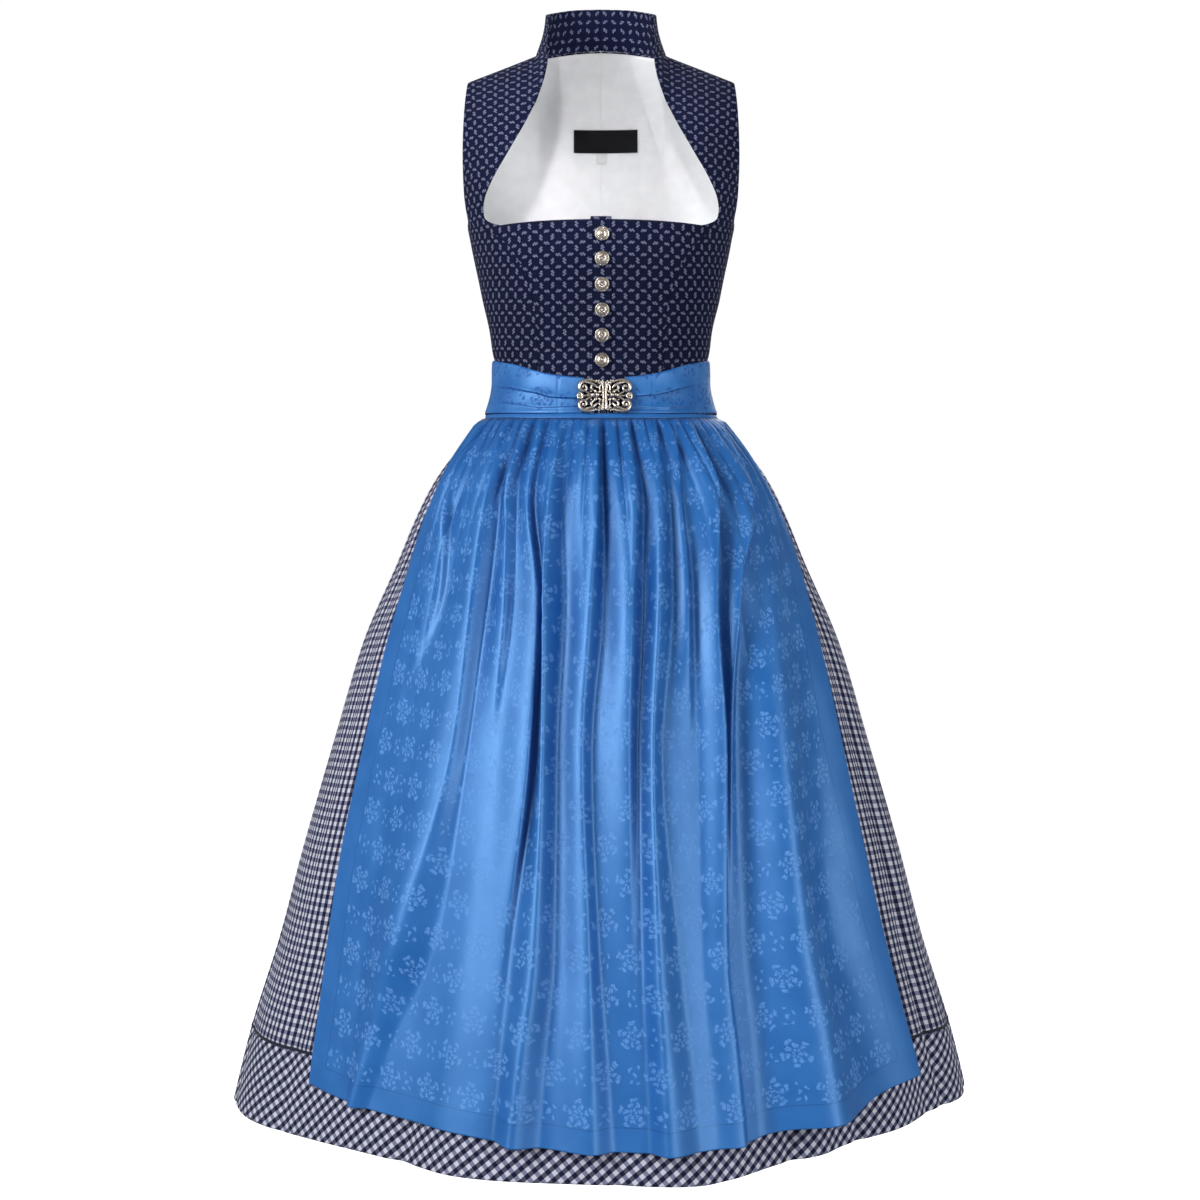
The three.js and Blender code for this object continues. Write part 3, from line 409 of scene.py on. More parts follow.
class Paint:
    """A material in the making, with short names for the kinds of node that cloth needs."""

    def __init__(self, name, base, roughness):
        self.material = bpy.data.materials.new(name)
        self.material.use_nodes = True
        self.tree = self.material.node_tree
        self.shader = self.tree.nodes["Principled BSDF"]
        self.set(Base_Color=(*base, 1), Roughness=roughness)
        self.uv = self.node("ShaderNodeUVMap", uv_map="UVMap").outputs[0]

    def node(self, kind, **settings):
        """A new node of a kind, with its own settings."""
        made = self.tree.nodes.new(kind)
        for key, value in settings.items():
            setattr(made, key, value)
        return made

    def join(self, socket, value):
        """Gives a socket a value, or a link from another socket."""
        if isinstance(value, bpy.types.NodeSocket):
            self.tree.links.new(value, socket)
        elif value is not None:
            socket.default_value = value

    def set(self, **values):
        """Sets inputs of the shader, named with underscores for spaces."""
        for key, value in values.items():
            self.join(self.shader.inputs[key.replace("_", " ")], value)

    def math(self, operation, *values, clamp=False):
        made = self.node("ShaderNodeMath", operation=operation, use_clamp=clamp)
        for socket, value in zip(made.inputs, values):
            self.join(socket, value)
        return made.outputs[0]

    def vector(self, operation, *values, output=0):
        made = self.node("ShaderNodeVectorMath", operation=operation)
        for socket, value in zip(made.inputs, values):
            self.join(socket, value)
        return made.outputs[output]

    def split(self, vector):
        made = self.node("ShaderNodeSeparateXYZ")
        self.join(made.inputs[0], vector)
        return made.outputs

    def between(self, value, low, high, to_low=0.0, to_high=1.0):
        """A soft step from to_low at low to to_high at high."""
        made = self.node("ShaderNodeMapRange", interpolation_type="SMOOTHSTEP")
        for socket, number in zip(made.inputs, (value, low, high, to_low, to_high)):
            self.join(socket, number)
        return made.outputs[0]

    def blend(self, factor, first, second):
        """The first colour at 0 and the second at 1."""
        made = self.node("ShaderNodeMix", data_type="RGBA")
        self.join(made.inputs[0], factor)
        for socket, colour in ((made.inputs[6], first), (made.inputs[7], second)):
            self.join(socket, colour if isinstance(colour, bpy.types.NodeSocket) else (*colour, 1))
        return made.outputs[2]

    def noise(self, vector, scale, detail=2.0, roughness=0.5):
        made = self.node("ShaderNodeTexNoise")
        self.join(made.inputs["Vector"], vector)
        for key, value in (("Scale", scale), ("Detail", detail), ("Roughness", roughness)):
            made.inputs[key].default_value = value
        return made.outputs[0]

    def turned(self, vector, place=(0, 0, 0), angle=0.0, size=(1, 1, 1)):
        """The vector as seen by a motif at a place, turned by an angle and of a size."""
        made = self.node("ShaderNodeMapping", vector_type="TEXTURE")
        self.join(made.inputs["Vector"], vector)
        made.inputs["Location"].default_value = place
        made.inputs["Rotation"].default_value = (0, 0, angle)
        made.inputs["Scale"].default_value = size
        return made.outputs[0]

    def cell(self, width, height, shift=(0, 0)):
        """Places in millimetres from the middle of the nearest cell of a repeat."""
        scaled = self.vector("MULTIPLY_ADD", self.uv, (1000, 1000, 0), (shift[0], shift[1], 0))
        half = (width / 2, height / 2, 1)
        return self.vector("WRAP", scaled, half, (-half[0], -half[1], -1))

    def leaf(self, vector, x, y, long, wide, degrees=0.0, soft=0.25):
        """1 inside an oval leaf, 0 outside it."""
        seen = self.turned(vector, (x, y, 0), math.radians(degrees), (long / 2, wide / 2, 1))
        far = self.vector("LENGTH", seen, output=1)
        return self.between(far, 1 + soft, 1 - soft)

    def any_of(self, masks):
        """1 where any of the masks is."""
        total = masks[0]
        for mask in masks[1:]:
            total = self.math("MAXIMUM", total, mask)
        return total

    def openness(self, reach, samples, low, high):
        """From 0 where the air over the cloth is as open as low says to 1 where it is as high."""
        made = self.node("ShaderNodeAmbientOcclusion", samples=samples)
        made.inputs["Distance"].default_value = reach
        return self.between(made.outputs["AO"], low, high)

    def bump(self, height, millimetres):
        made = self.node("ShaderNodeBump")
        made.inputs["Strength"].default_value = 1.0
        made.inputs["Distance"].default_value = millimetres * MM
        self.join(made.inputs["Height"], height)
        self.join(self.shader.inputs["Normal"], made.outputs[0])


print("material kit ready")

# %% [markdown]
# ### Plain weave, check and print
# In a plain weave the long and the cross threads take turns on top. Where a dyed stripe
# of one crosses a dyed stripe of the other the cloth is navy, where it crosses white it
# is a mix of both, thread by thread, and so a check comes out of two stripes. The print
# is discharge on navy: small sprigs, upright ones and lying ones by turns.

# %% Check, and its threads
NAVY = (0.0044, 0.0070, 0.0290)
NAVY_WORN = (0.0068, 0.0100, 0.0380)
CHECK_NAVY = (0.005, 0.007, 0.034)
CHECK_MIDDLE_DARK = (0.022, 0.025, 0.063)
CHECK_MIDDLE_LIGHT = (0.23, 0.245, 0.38)
CHECK_WHITE = (0.67, 0.68, 0.80)
WORN_THREAD = (0.2, 0.2, 0.28)
CHECK_REPEAT = 8.9
STRIPE_EDGE = (0.235, 0.265)
CROSS_THREAD_SHARE = 0.16
BIAS_DEGREES = -50
THREAD_MM = 0.55


def threads(paint, vector):
    """1 where a long thread lies on top and 0 where a cross thread does."""
    x, y, _ = paint.split(vector)
    turn = math.pi * 1000 / THREAD_MM
    wave = paint.math("MULTIPLY", paint.math("SINE", paint.math("MULTIPLY", x, turn)),
                      paint.math("SINE", paint.math("MULTIPLY", y, turn)))
    return paint.between(wave, -0.25, 0.25)


def stripe(paint, value):
    """1 on every second stripe along one direction of the cloth."""
    triangle = paint.math("PINGPONG", paint.math("MULTIPLY", value, 1000 / CHECK_REPEAT), 0.5)
    return paint.between(triangle, *STRIPE_EDGE)


def check_cloth(name, degrees=0.0):
    paint = Paint(name, CHECK_NAVY, 0.88)
    grain = paint.turned(paint.uv, angle=math.radians(degrees))
    x, y, _ = paint.split(grain)
    across = stripe(paint, y)
    squares = paint.blend(stripe(paint, x), paint.blend(across, CHECK_WHITE, CHECK_MIDDLE_LIGHT),
                          paint.blend(across, CHECK_MIDDLE_DARK, CHECK_NAVY))
    over = threads(paint, grain)
    cross_thread = paint.blend(across, CHECK_WHITE, CHECK_NAVY)
    colour = paint.blend(paint.math("MULTIPLY", over, CROSS_THREAD_SHARE), squares, cross_thread)
    worn = paint.noise(paint.uv, 900, 2, 0.6)
    paint.set(Base_Color=paint.blend(paint.between(worn, 0.3, 0.7, 0, 0.06), colour, WORN_THREAD))
    paint.set(Sheen_Weight=0.02, Sheen_Roughness=0.5, Specular_IOR_Level=0.12)
    paint.bump(over, 0.06)
    return paint.material


CHECK = check_cloth("check_straight")
CHECK_BIAS = check_cloth("check_on_the_bias", BIAS_DEGREES)
print("checks:", CHECK.name, CHECK_BIAS.name, "repeat", CHECK_REPEAT, "mm")

# %% Navy print with sprigs
SPRIG_COLOUR = (0.17, 0.185, 0.31)
SPRIG_BRIGHT = (0.44, 0.46, 0.63)
SPRIG_CELL = (12.8, 12.7)
BIAS_CELL = (14.6, 14.6)
LEAF_SOFTNESS = 0.5
UPRIGHT_SPRIG = (  # each leaf's place, length, width and turn, in millimetres and degrees
    (-0.5, 2.1, 2.6, 2.0, 30),
    (0.8, 0.8, 2.5, 1.9, -35),
    (-0.8, -0.6, 2.5, 1.9, 30),
    (0.5, -2.1, 2.6, 2.0, -25),
)
LYING_SPRIG = (
    (-2.0, -0.5, 2.4, 1.9, 60),
    (-0.6, 0.7, 2.4, 1.9, -50),
    (0.8, -0.4, 2.3, 1.9, 50),
    (2.0, 0.5, 2.4, 1.8, -60),
)


def sprig_turns(paint, cell, width, height, shift):
    """The cell's places, and the same with every second cell turned over, as on a chequerboard."""
    x, y, _ = paint.split(paint.vector("MULTIPLY_ADD", paint.uv, (1000, 1000, 0), (*shift, 0)))
    side = paint.math("SIGN", paint.math(
        "MULTIPLY", paint.math("COSINE", paint.math("MULTIPLY", x, math.pi / width)),
        paint.math("COSINE", paint.math("MULTIPLY", y, math.pi / height))))
    turned = paint.node("ShaderNodeCombineXYZ")
    across, up, _ = paint.split(cell)
    paint.join(turned.inputs[0], paint.math("MULTIPLY", across, side))
    paint.join(turned.inputs[1], up)
    return turned.outputs[0]


def print_cloth(name, width, height, degrees=0.0):
    paint = Paint(name, NAVY, 0.85)
    if degrees:
        paint.uv = paint.turned(paint.uv, angle=math.radians(degrees))
    first = sprig_turns(paint, paint.cell(width, height), width, height, (0, 0))
    shift = (width / 2, height / 2)
    second = sprig_turns(paint, paint.cell(width, height, shift), width, height, shift)
    leaves = [paint.leaf(cell, *leaf, LEAF_SOFTNESS)
              for cell, sprig in ((first, UPRIGHT_SPRIG), (second, LYING_SPRIG)) for leaf in sprig]
    sprigs = paint.any_of(leaves)
    grain = paint.noise(paint.uv, 1100, 3, 0.75)
    patchy = paint.between(grain, 0.38, 0.56, 0.30, 1.0)
    sprig = paint.blend(paint.between(grain, 0.50, 0.66), SPRIG_COLOUR, SPRIG_BRIGHT)
    over = threads(paint, paint.uv)
    ground = paint.blend(over, NAVY, NAVY_WORN)
    paint.set(Base_Color=paint.blend(paint.math("MULTIPLY", sprigs, patchy), ground, sprig))
    paint.set(Sheen_Weight=0.015, Sheen_Roughness=0.45, Specular_IOR_Level=0.09)
    paint.bump(over, 0.05)
    return paint.material


PRINT = print_cloth("sprig_print", *SPRIG_CELL)
PRINT_BIAS = print_cloth("sprig_print_on_the_bias", *BIAS_CELL, degrees=45)
print("prints:", PRINT.name, PRINT_BIAS.name)

# %% [markdown]
# ### Satin with a woven flower figure
# In satin most threads of one direction float on top, which is what makes it shine. A
# woven figure turns the weave over inside each flower, so its threads lie the other way:
# the flower has the same dye but scatters the light, and so it looks lighter in the
# shade and darker in a highlight. Two materials with a mask would do it too; here one
# shader's colour and roughness follow the mask, which exports better.

# %% Satin
SATIN_GROUND = (0.020, 0.155, 0.50)
SATIN_DEEPER = (0.012, 0.130, 0.45)
SATIN_FIGURE = (0.105, 0.295, 0.71)
BAND_GROUND = (0.040, 0.200, 0.56)
BAND_FIGURE = (0.006, 0.075, 0.33)
SATIN_GLOSS = (0.32, 0.60, 1.0, 1.0)
# painted shade: the dark blue that the satin turns to deep in its folds and gathers, and how far the AO node
# looks for it
SATIN_PAINTED_VALLEY_SHADE = (0.003, 0.035, 0.19)
VALLEY_SHADE_REACH = 0.03
STITCH_LINE = (0.003, 0.055, 0.24)
SPRAY = (  # each leaf's place, length, width and turn, in millimetres and degrees
    (-2.8, 3.2, 4.8, 2.6, 60),
    (2.4, -0.6, 5.0, 2.8, 110),
    (-1.6, -6.4, 4.2, 2.6, 80),
    (4.8, 7.4, 3.4, 2.4, 30),
    (5.4, -7.4, 3.2, 2.2, 20),
)
FLOWER_CELL = (50.0, 71.0)
INNER_PETALS, OUTER_PETALS, WREATH_LEAVES = 6, 7, 5
HEM_STRIP = 23.0


def ring(paint, radius, at, wide):
    """1 on a ring round a blossom's eye, 0 away from it."""
    away = paint.math("ABSOLUTE", paint.math("SUBTRACT", radius, at))
    return paint.between(away, wide * 0.62, wide * 0.38)


def petals(paint, angle, count, turn, low, high):
    """1 in each of a round of petals, 0 in the gaps between them."""
    turns = paint.math("MULTIPLY", angle, count)
    if turn:
        turns = paint.math("ADD", turns, turn)
    return paint.between(paint.math("COSINE", turns), low, high)


def flower(paint, cell, turn=0.0):
    """An open blossom: an eye, two rounds of petals with gaps, and a loose wreath of leaves."""
    x, y, _ = paint.split(cell)
    radius = paint.vector("LENGTH", cell, output=1)
    angle = paint.math("ADD", paint.math("ARCTAN2", y, x), turn)
    inner = petals(paint, angle, INNER_PETALS, 0, -0.75, -0.1)
    outer = petals(paint, angle, OUTER_PETALS, 0, -0.55, 0.1)
    wreath = petals(paint, angle, WREATH_LEAVES, 1.2, -0.1, 0.5)
    return paint.any_of([
        paint.math("MULTIPLY", ring(paint, radius, 3.4, 2.4), inner),
        paint.math("MULTIPLY", ring(paint, radius, 7.4, 3.6), outer),
        paint.math("MULTIPLY", ring(paint, radius, 12.4, 3.4), wreath),
    ])


def figure_of(paint, fineness=560, least=0.40):
    """Blossoms in half-drop rows with sprays between them, woven in specks of thread."""
    width, height = FLOWER_CELL
    wander = paint.node("ShaderNodeTexNoise")
    paint.join(wander.inputs["Vector"], paint.uv)
    wander.inputs["Scale"].default_value = 150
    drift = paint.vector("MULTIPLY_ADD", wander.outputs[1], (0.0075, 0.0075, 0), (-0.00375, -0.00375, 0))
    straight = paint.uv
    paint.uv = paint.vector("ADD", paint.uv, drift)
    first = paint.cell(width, height)
    second = paint.cell(width, height, (width / 2, height / 2))
    sprays = []
    for shift, lean in (((width / 2, 0), 1), ((0, height / 2), -1)):
        cell = paint.cell(width, height, shift)
        sprays += [paint.leaf(cell, lean * x, y, long, wide, lean * turn) for x, y, long, wide, turn in SPRAY]
    figure = paint.any_of([flower(paint, first, 0.2), flower(paint, second, 0.7), *sprays])
    paint.uv = straight
    specks = paint.node("ShaderNodeTexVoronoi", feature="F1", voronoi_dimensions="2D")
    paint.join(specks.inputs["Vector"], paint.uv)
    specks.inputs["Scale"].default_value = fineness
    lively = paint.between(specks.outputs["Distance"], 0.68, 0.34, least, 1.0)
    return paint.math("MULTIPLY", figure, lively)


def satin(name, plain=False, darker_figure=False):
    paint = Paint(name, SATIN_GROUND, 0.42)
    if darker_figure:
        paint.uv = paint.turned(paint.uv, (0.004, 0.018, 0))
    drift = paint.between(paint.noise(paint.uv, 22, 3), 0.35, 0.65)
    ground = paint.blend(drift, BAND_GROUND if darker_figure else SATIN_GROUND, SATIN_DEEPER)
    weave = threads(paint, paint.uv)
    if plain:
        paint.set(Base_Color=ground)
    else:
        mask = figure_of(paint, 210, 0.65) if darker_figure else figure_of(paint)
        edge = paint.node("ShaderNodeAttribute", attribute_name="from_edge").outputs["Fac"]
        inside = paint.between(edge, HEM_STRIP - 0.3, HEM_STRIP + 0.3)
        mask = paint.math("MULTIPLY", mask, inside)
        woven = paint.blend(mask, ground, BAND_FIGURE if darker_figure else SATIN_FIGURE)
        # Painted shade: where the AO node finds the cloth closed in, in the valleys of folds and gathers, the
        # colour is darkened towards a deep blue.
        deep = paint.openness(VALLEY_SHADE_REACH, 6, 0.95, 0.50)
        colour = paint.blend(paint.math("MULTIPLY", deep, 0.85), woven, SATIN_PAINTED_VALLEY_SHADE)
        off_line = paint.math("ABSOLUTE", paint.math("SUBTRACT", edge, HEM_STRIP - 1.2))
        stitches = paint.math("MULTIPLY", paint.between(off_line, 0.7, 0.3), 0.55)
        paint.set(Base_Color=paint.blend(stitches, colour, STITCH_LINE))
        paint.set(Roughness=paint.between(mask, 0, 1, 0.40, 0.62))
    paint.set(Anisotropic=0.5, IOR=1.75, Specular_IOR_Level=0.9, Specular_Tint=SATIN_GLOSS)
    paint.set(Sheen_Weight=0.03, Sheen_Roughness=0.35)
    paint.bump(weave, 0.02)
    return paint.material


SATIN = satin("satin_with_flowers")
SATIN_BAND = satin("satin_of_the_band", darker_figure=True)
SATIN_PLAIN = satin("satin_plain", plain=True)
print("satins:", SATIN.name, SATIN_PLAIN.name)

# %% Lining, trims and metal
# how far the AO node looks when it paints shade into the lining's corners
CORNER_SHADE_REACH = 0.11
SILVER_BRIGHT = (0.82, 0.76, 0.69)
SILVER_WORN = (0.62, 0.53, 0.44)
SILVER_DARK = (0.15, 0.115, 0.09)
HOLLOW_REACH = 0.0022


def plain_cloth(name, base, roughness, sheen=0.1, gloss=0.3, corner_shade_share=1.0):
    """A cloth of one dye; where the last argument is below 1, shade is painted into its deep corners, which
    darken to that share of the dye.
    """
    paint = Paint(name, base, roughness)
    drift = paint.between(paint.noise(paint.uv, 60, 3), 0.3, 0.7, 0.0, 0.5)
    colour = paint.blend(drift, base, tuple(0.9 * c for c in base))
    # Painted shade: the colour darkens in deep corners, where the AO node finds the cloth closed in.
    if corner_shade_share < 1:
        free_of_painted_shade = paint.openness(CORNER_SHADE_REACH, 8, 0.2, 0.75)
        colour = paint.blend(free_of_painted_shade, tuple(corner_shade_share * c for c in base), colour)
    paint.set(Base_Color=colour, Sheen_Weight=sheen, Specular_IOR_Level=gloss)
    paint.bump(threads(paint, paint.uv), 0.04)
    return paint.material


# The lining has painted shade: where the bodice closes in round it, its colour darkens to 0.58 of its dye.
LINING = plain_cloth("lining_cloth", (0.86, 0.87, 0.89), 0.55, corner_shade_share=0.58)
PIPING = plain_cloth("piping_cloth", (0.008, 0.010, 0.032), 0.6)
LABEL_BLACK = plain_cloth("label_weave", (0.005, 0.005, 0.006), 0.6, 0.0, gloss=0.1)
TAB_WHITE = plain_cloth("tab_weave", (0.74, 0.74, 0.75), 0.7)


def old_silver(name):
    """Cast metal that has been rubbed bright on top and has gone dark in its hollows."""
    paint = Paint(name, (0.60, 0.55, 0.48), 0.32)
    place = paint.node("ShaderNodeTexCoord").outputs["Object"]
    rubbed = paint.openness(HOLLOW_REACH, 8, 0.38, 0.85)
    spots = paint.between(paint.noise(place, 900, 3), 0.35, 0.7)
    bright = paint.blend(spots, SILVER_BRIGHT, SILVER_WORN)
    paint.set(Base_Color=paint.blend(rubbed, SILVER_DARK, bright))
    paint.set(Roughness=paint.between(spots, 0, 1, 0.24, 0.40), Metallic=1.0)
    paint.bump(paint.noise(place, 1500, 2), 0.03)
    return paint.material


def studio_white(name, stage_piece, darker, lighter, patch, roughness, glow):
    """A white that glows a little, so that the room has no edges."""
    paint = Paint(name, (darker,) * 3, roughness)
    patches = paint.noise(paint.node("ShaderNodeTexCoord").outputs["Object"], patch)
    paint.set(Base_Color=paint.blend(patches, (darker,) * 3, (lighter,) * 3))
    paint.set(Emission_Color=WHITE, Emission_Strength=glow)
    stage_piece.data.materials.append(paint.material)


SILVER = old_silver("old_silver")
studio_white("studio_floor", floor, 0.85, 0.88, 0.8, 0.9, 0.90)
studio_white("studio_wall_white", wall, 0.0, 0.01, 0.5, 1.0, 1.0)
print("materials:", len(bpy.data.materials))

# %% [markdown]
# ## The bodice
# A dirndl's bodice has two centre fronts, which run on beside the neckline as straps, two
# side fronts with the curved seam that makes room for the bust, two backs, a buttonhole
# band down the front and a stand collar in two halves. Each panel is its own shell, and its
# edges roll in a little towards the seams, which is what makes a seam show on the real
# thing. One closed shell with drawn seam lines would be simpler, but it catches no light
# there.

# %% Where the bodice lies
BODICE_CLOTH = 2.0
SHOULDER = dict(neckX=72, neckZ=19.5, tipX=147, tipZ=-10, y=5)
CHEST_Z = -150
UNDERARM_Z = -172
NECK_BACK_Z, NECK_BACK_ROUND = 43, 0.65
NECK_RISE, NECK_RISE_ROUND = 89.6, 0.9
LEAN = {FRONT: (1.6, 0.75), BACK: (2.4, 0.6)}
SHOULDER_SLOPE = 0.38
WAIST_SIDE, WAIST_DIP = -372, 6
NECKLINE = table("z x", (-184, 107), (-178.5, 119), (-171, 125.5), (-163, 126.5), (-154, 125),
                 (-138, 118), (-106, 99.5), (-70, 80), (-42, 68.5), (-14, 60.5), (3, 58.5), (19.5, 72))
ARMHOLE = table("z x", (-172, 146), (-150, 148.5), (-100, 150), (-50, 149), (-10, 147))
BUST_SEAM = table("z x", (-380, 66), (-320, 66.5), (-280, 69), (-250, 75.5), (-225, 86),
                  (-203, 101), (-187, 122), (-178, 136), (-169, 145))
BUST_SEAM_TOP = -169
ARMHOLE_STEP = 1.3


def shoulder_height(x):
    reach = np.abs(x)
    crown = 1 - np.minimum(reach / SHOULDER["neckX"], 1) ** 2
    fall = (SHOULDER["tipZ"] - SHOULDER["neckZ"]) / (SHOULDER["tipX"] - SHOULDER["neckX"])
    seam = SHOULDER["neckZ"] + fall * (reach - SHOULDER["neckX"])
    return np.where(reach < SHOULDER["neckX"], SHOULDER["neckZ"] + NECK_RISE * crown**NECK_RISE_ROUND, seam)


def lean_at(x, z):
    return np.clip((z - CHEST_Z) / (shoulder_height(x) - CHEST_Z), 0, 1)


def bodice_y(half, x, z):
    form = BODICE[half]
    power = read(BODICE_LEVELS, z, "power")
    reach = np.minimum(np.abs(x) / form.level(z, form.side), 1)
    full = half * form.level(z, form.depth) * (1 - reach**power) ** (1 / power)
    along, curve = LEAN[half]
    stays = (1 - lean_at(x, z) ** along) ** curve
    return np.where(z > CHEST_Z, lerp(SHOULDER["y"], full, stays), full)


def bodice_point(half, x, y, z, lift):
    """A point of the bodice, moved out of its outer face by lift (in, where negative)."""
    form = BODICE[half]
    lean = lean_at(x, z)
    level = stacked(x / form.level(z, form.side) ** 2,
                    (y - SHOULDER["y"] * lean) / form.level(z, form.depth) ** 2, 0 * z)
    level /= np.linalg.norm(level, axis=-1, keepdims=True)
    up = stacked(SHOULDER_SLOPE * np.clip(x / SHOULDER["neckX"], -1, 1), 0 * z, 1 + 0 * z)
    up /= np.linalg.norm(up, axis=-1, keepdims=True)
    turn = (np.pi / 2 * lean**2)[..., None]
    out = level * np.cos(turn) + up * np.sin(turn)
    return stacked(x, y + half * STITCHED / 2, z) + out * np.broadcast_to(lift, np.shape(z))[..., None]


def on_bodice(half, x, z, lift):
    return bodice_point(half, x, bodice_y(half, x, z), z, lift)


def waist_height(share):
    return WAIST_SIDE - WAIST_DIP * (1 - np.abs(share)) ** 2


def soft_creases(x, z, depth=0.5):
    """Slight, uneven life in cloth that lies close."""
    wave = np.sin(x / 23 + 1.3 * np.sin(z / 41)) * np.sin(z / 17 + 0.8 * np.sin(x / 31 + 1))
    return depth * (wave + 0.6 * np.sin(z / 9.5 + x / 37)) / 1.6


def bodice_uv(half, lean_degrees=0.0, origin=0.0):
    """Places along the cloth with its long threads upright, as the panel was cut."""
    form = BODICE[half]
    heights = np.linspace(-385, 110, 400)
    probe = np.full(heights.shape, 100.0 if half == FRONT else 60.0)
    rise = np.hypot(np.diff(heights), np.diff(bodice_y(half, probe, heights)))
    climbed = np.concatenate([[0], np.cumsum(rise)])

    def uv(u, v, points):
        x, y, z = (points[..., k] / MM for k in range(3))
        row = np.clip(((z - form.z[0]) / LEVEL_STEP).astype(int), 0, len(form.z) - 1)
        along = np.empty(x.shape)
        for r in np.unique(row):
            on_row = row == r
            lengths = SHARES * form.length[r]
            by_x = np.interp(np.abs(x[on_row]), form.x[r], lengths)
            by_y = np.interp(half * y[on_row], form.y[r][::-1], lengths[::-1])
            beside = smooth(np.abs(x[on_row]) / form.side[r], 0.72, 0.9) * smooth(-z[on_row], -CHEST_Z, 168)
            along[on_row] = lerp(by_x, by_y, beside)
        along = np.sign(x) * lerp(along, np.abs(x), np.clip(lean_at(x, z), 0, 1) ** 1.5)
        up = np.interp(z, heights, climbed)
        turn = math.radians(lean_degrees)
        return stacked((along - origin) * math.cos(turn) + up * math.sin(turn),
                       up * math.cos(turn) - (along - origin) * math.sin(turn), 0)[..., :2] * MM

    return uv


print("underarm is", round(float(bodice_y(BACK, np.array(0.0), np.array(-172.0))), 1), "mm deep")

# %% Front panels, with the straps beside the neckline
BAND_HALF_WIDTH = 11
NECK_BOTTOM, NECK_CORNER_X = -184.0, 107


def seam_x(z):
    return read(BUST_SEAM, z, "x") - STITCHED / 2


def front_panel(word, side):
    inner = BAND_HALF_WIDTH + STITCHED / 2
    corner = (NECK_CORNER_X - inner) / (seam_x(np.array(NECK_BOTTOM)) - inner)

    def spot(share, t):
        low_z = lerp(WAIST_SIDE, NECK_BOTTOM, np.clip(t, 0, 1))
        low_x = lerp(inner, seam_x(low_z), share)
        dip = waist_height(low_x / 190) - WAIST_SIDE
        low_z = low_z + dip * (1 - np.clip(t, 0, 1)) ** 2
        up = np.clip(t - 1, 0, 1)
        across = np.clip((share - corner) / (1 - corner), 0, 1)
        inner_z = lerp(NECK_BOTTOM, SHOULDER["neckZ"], up)
        outer_z = lerp(NECK_BOTTOM, SHOULDER["tipZ"], up)
        armhole = read(ARMHOLE, outer_z, "x") - ARMHOLE_STEP * smooth(-outer_z, 140, -BUST_SEAM_TOP)
        outer_x = np.where(outer_z < BUST_SEAM_TOP, seam_x(outer_z), armhole)
        high_x = lerp(read(NECKLINE, inner_z, "x"), outer_x, across)
        high_z = lerp(inner_z, outer_z, across)
        return np.where(t <= 1, low_x, high_x), np.where(t <= 1, low_z, high_z), across

    def place(share, t):
        x, z, across = spot(share, t)
        from_seam = np.where(t <= 1, (1 - share) * 60, 99)
        from_neck = np.where(t >= 1, across * (1 - corner) * 130, np.where(share < corner, (1 - t) * 188, 99))
        from_arm = np.where(t >= 1, (1 - across) * (1 - corner) * 130, 99)
        roll = turned_in(from_seam) + turned_in(from_neck, 1.2, 0.5) + turned_in(from_arm, 1.2, 0.5)
        calm = np.clip(np.minimum(from_neck, from_arm) / 12, 0, 1)
        return on_bodice(FRONT, side * x, z, roll + calm * soft_creases(side * x, z))

    columns = np.unique(np.concatenate([even(0, corner, 26), even(corner, 1, 16),
                                        corner + (1 - corner) * np.array([0.02, 0.05, 0.95, 0.98])]))
    rows = np.concatenate([even(0, 1, 60), [1.004, 1.012], even(1, 2, 60)[1:]])

    def keep(share, t):
        return (t < 1) | (share > corner)

    piece = shell(f"front_panel_{word}", columns if side > 0 else columns[::-1], rows, place,
                  [PRINT, LINING], 1.6, keep, bodice_uv(FRONT))
    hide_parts(f"front_{word}")


for panel_word, panel_side in SIDES:
    front_panel(panel_word, panel_side)

# %% Side fronts


def side_front_panel(word, side):
    form = BODICE[FRONT]
    seam_share = form.share_of(lambda z: read(BUST_SEAM, z, "x") + STITCHED / 2)

    def place(share, t):
        z = lerp(WAIST_SIDE, lerp(BUST_SEAM_TOP, UNDERARM_Z, share), t)
        start = np.interp(z, form.z, seam_share)
        x, y, _ = form.at(lerp(start, 1, share), z)
        z = z + (waist_height(lerp(start, 1, share)) - WAIST_SIDE) * (1 - t) ** 2
        roll = turned_in(share * 80) + turned_in((1 - share) * 80) + turned_in((1 - t) * 200, 1.2, 0.5)
        return bodice_point(FRONT, side * x, y, z, roll + soft_creases(side * x, z))

    columns = edged(0, 80, 22) / 80
    piece = shell(f"side_front_panel_{word}", columns if side > 0 else columns[::-1], even(0, 1, 60),
                  place, [PRINT, LINING], 1.6, uv=bodice_uv(FRONT, side * 6.5, side * 60))
    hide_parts(f"side_front_{word}")


for panel_word, panel_side in SIDES:
    side_front_panel(panel_word, panel_side)

# %% Backs and their lining


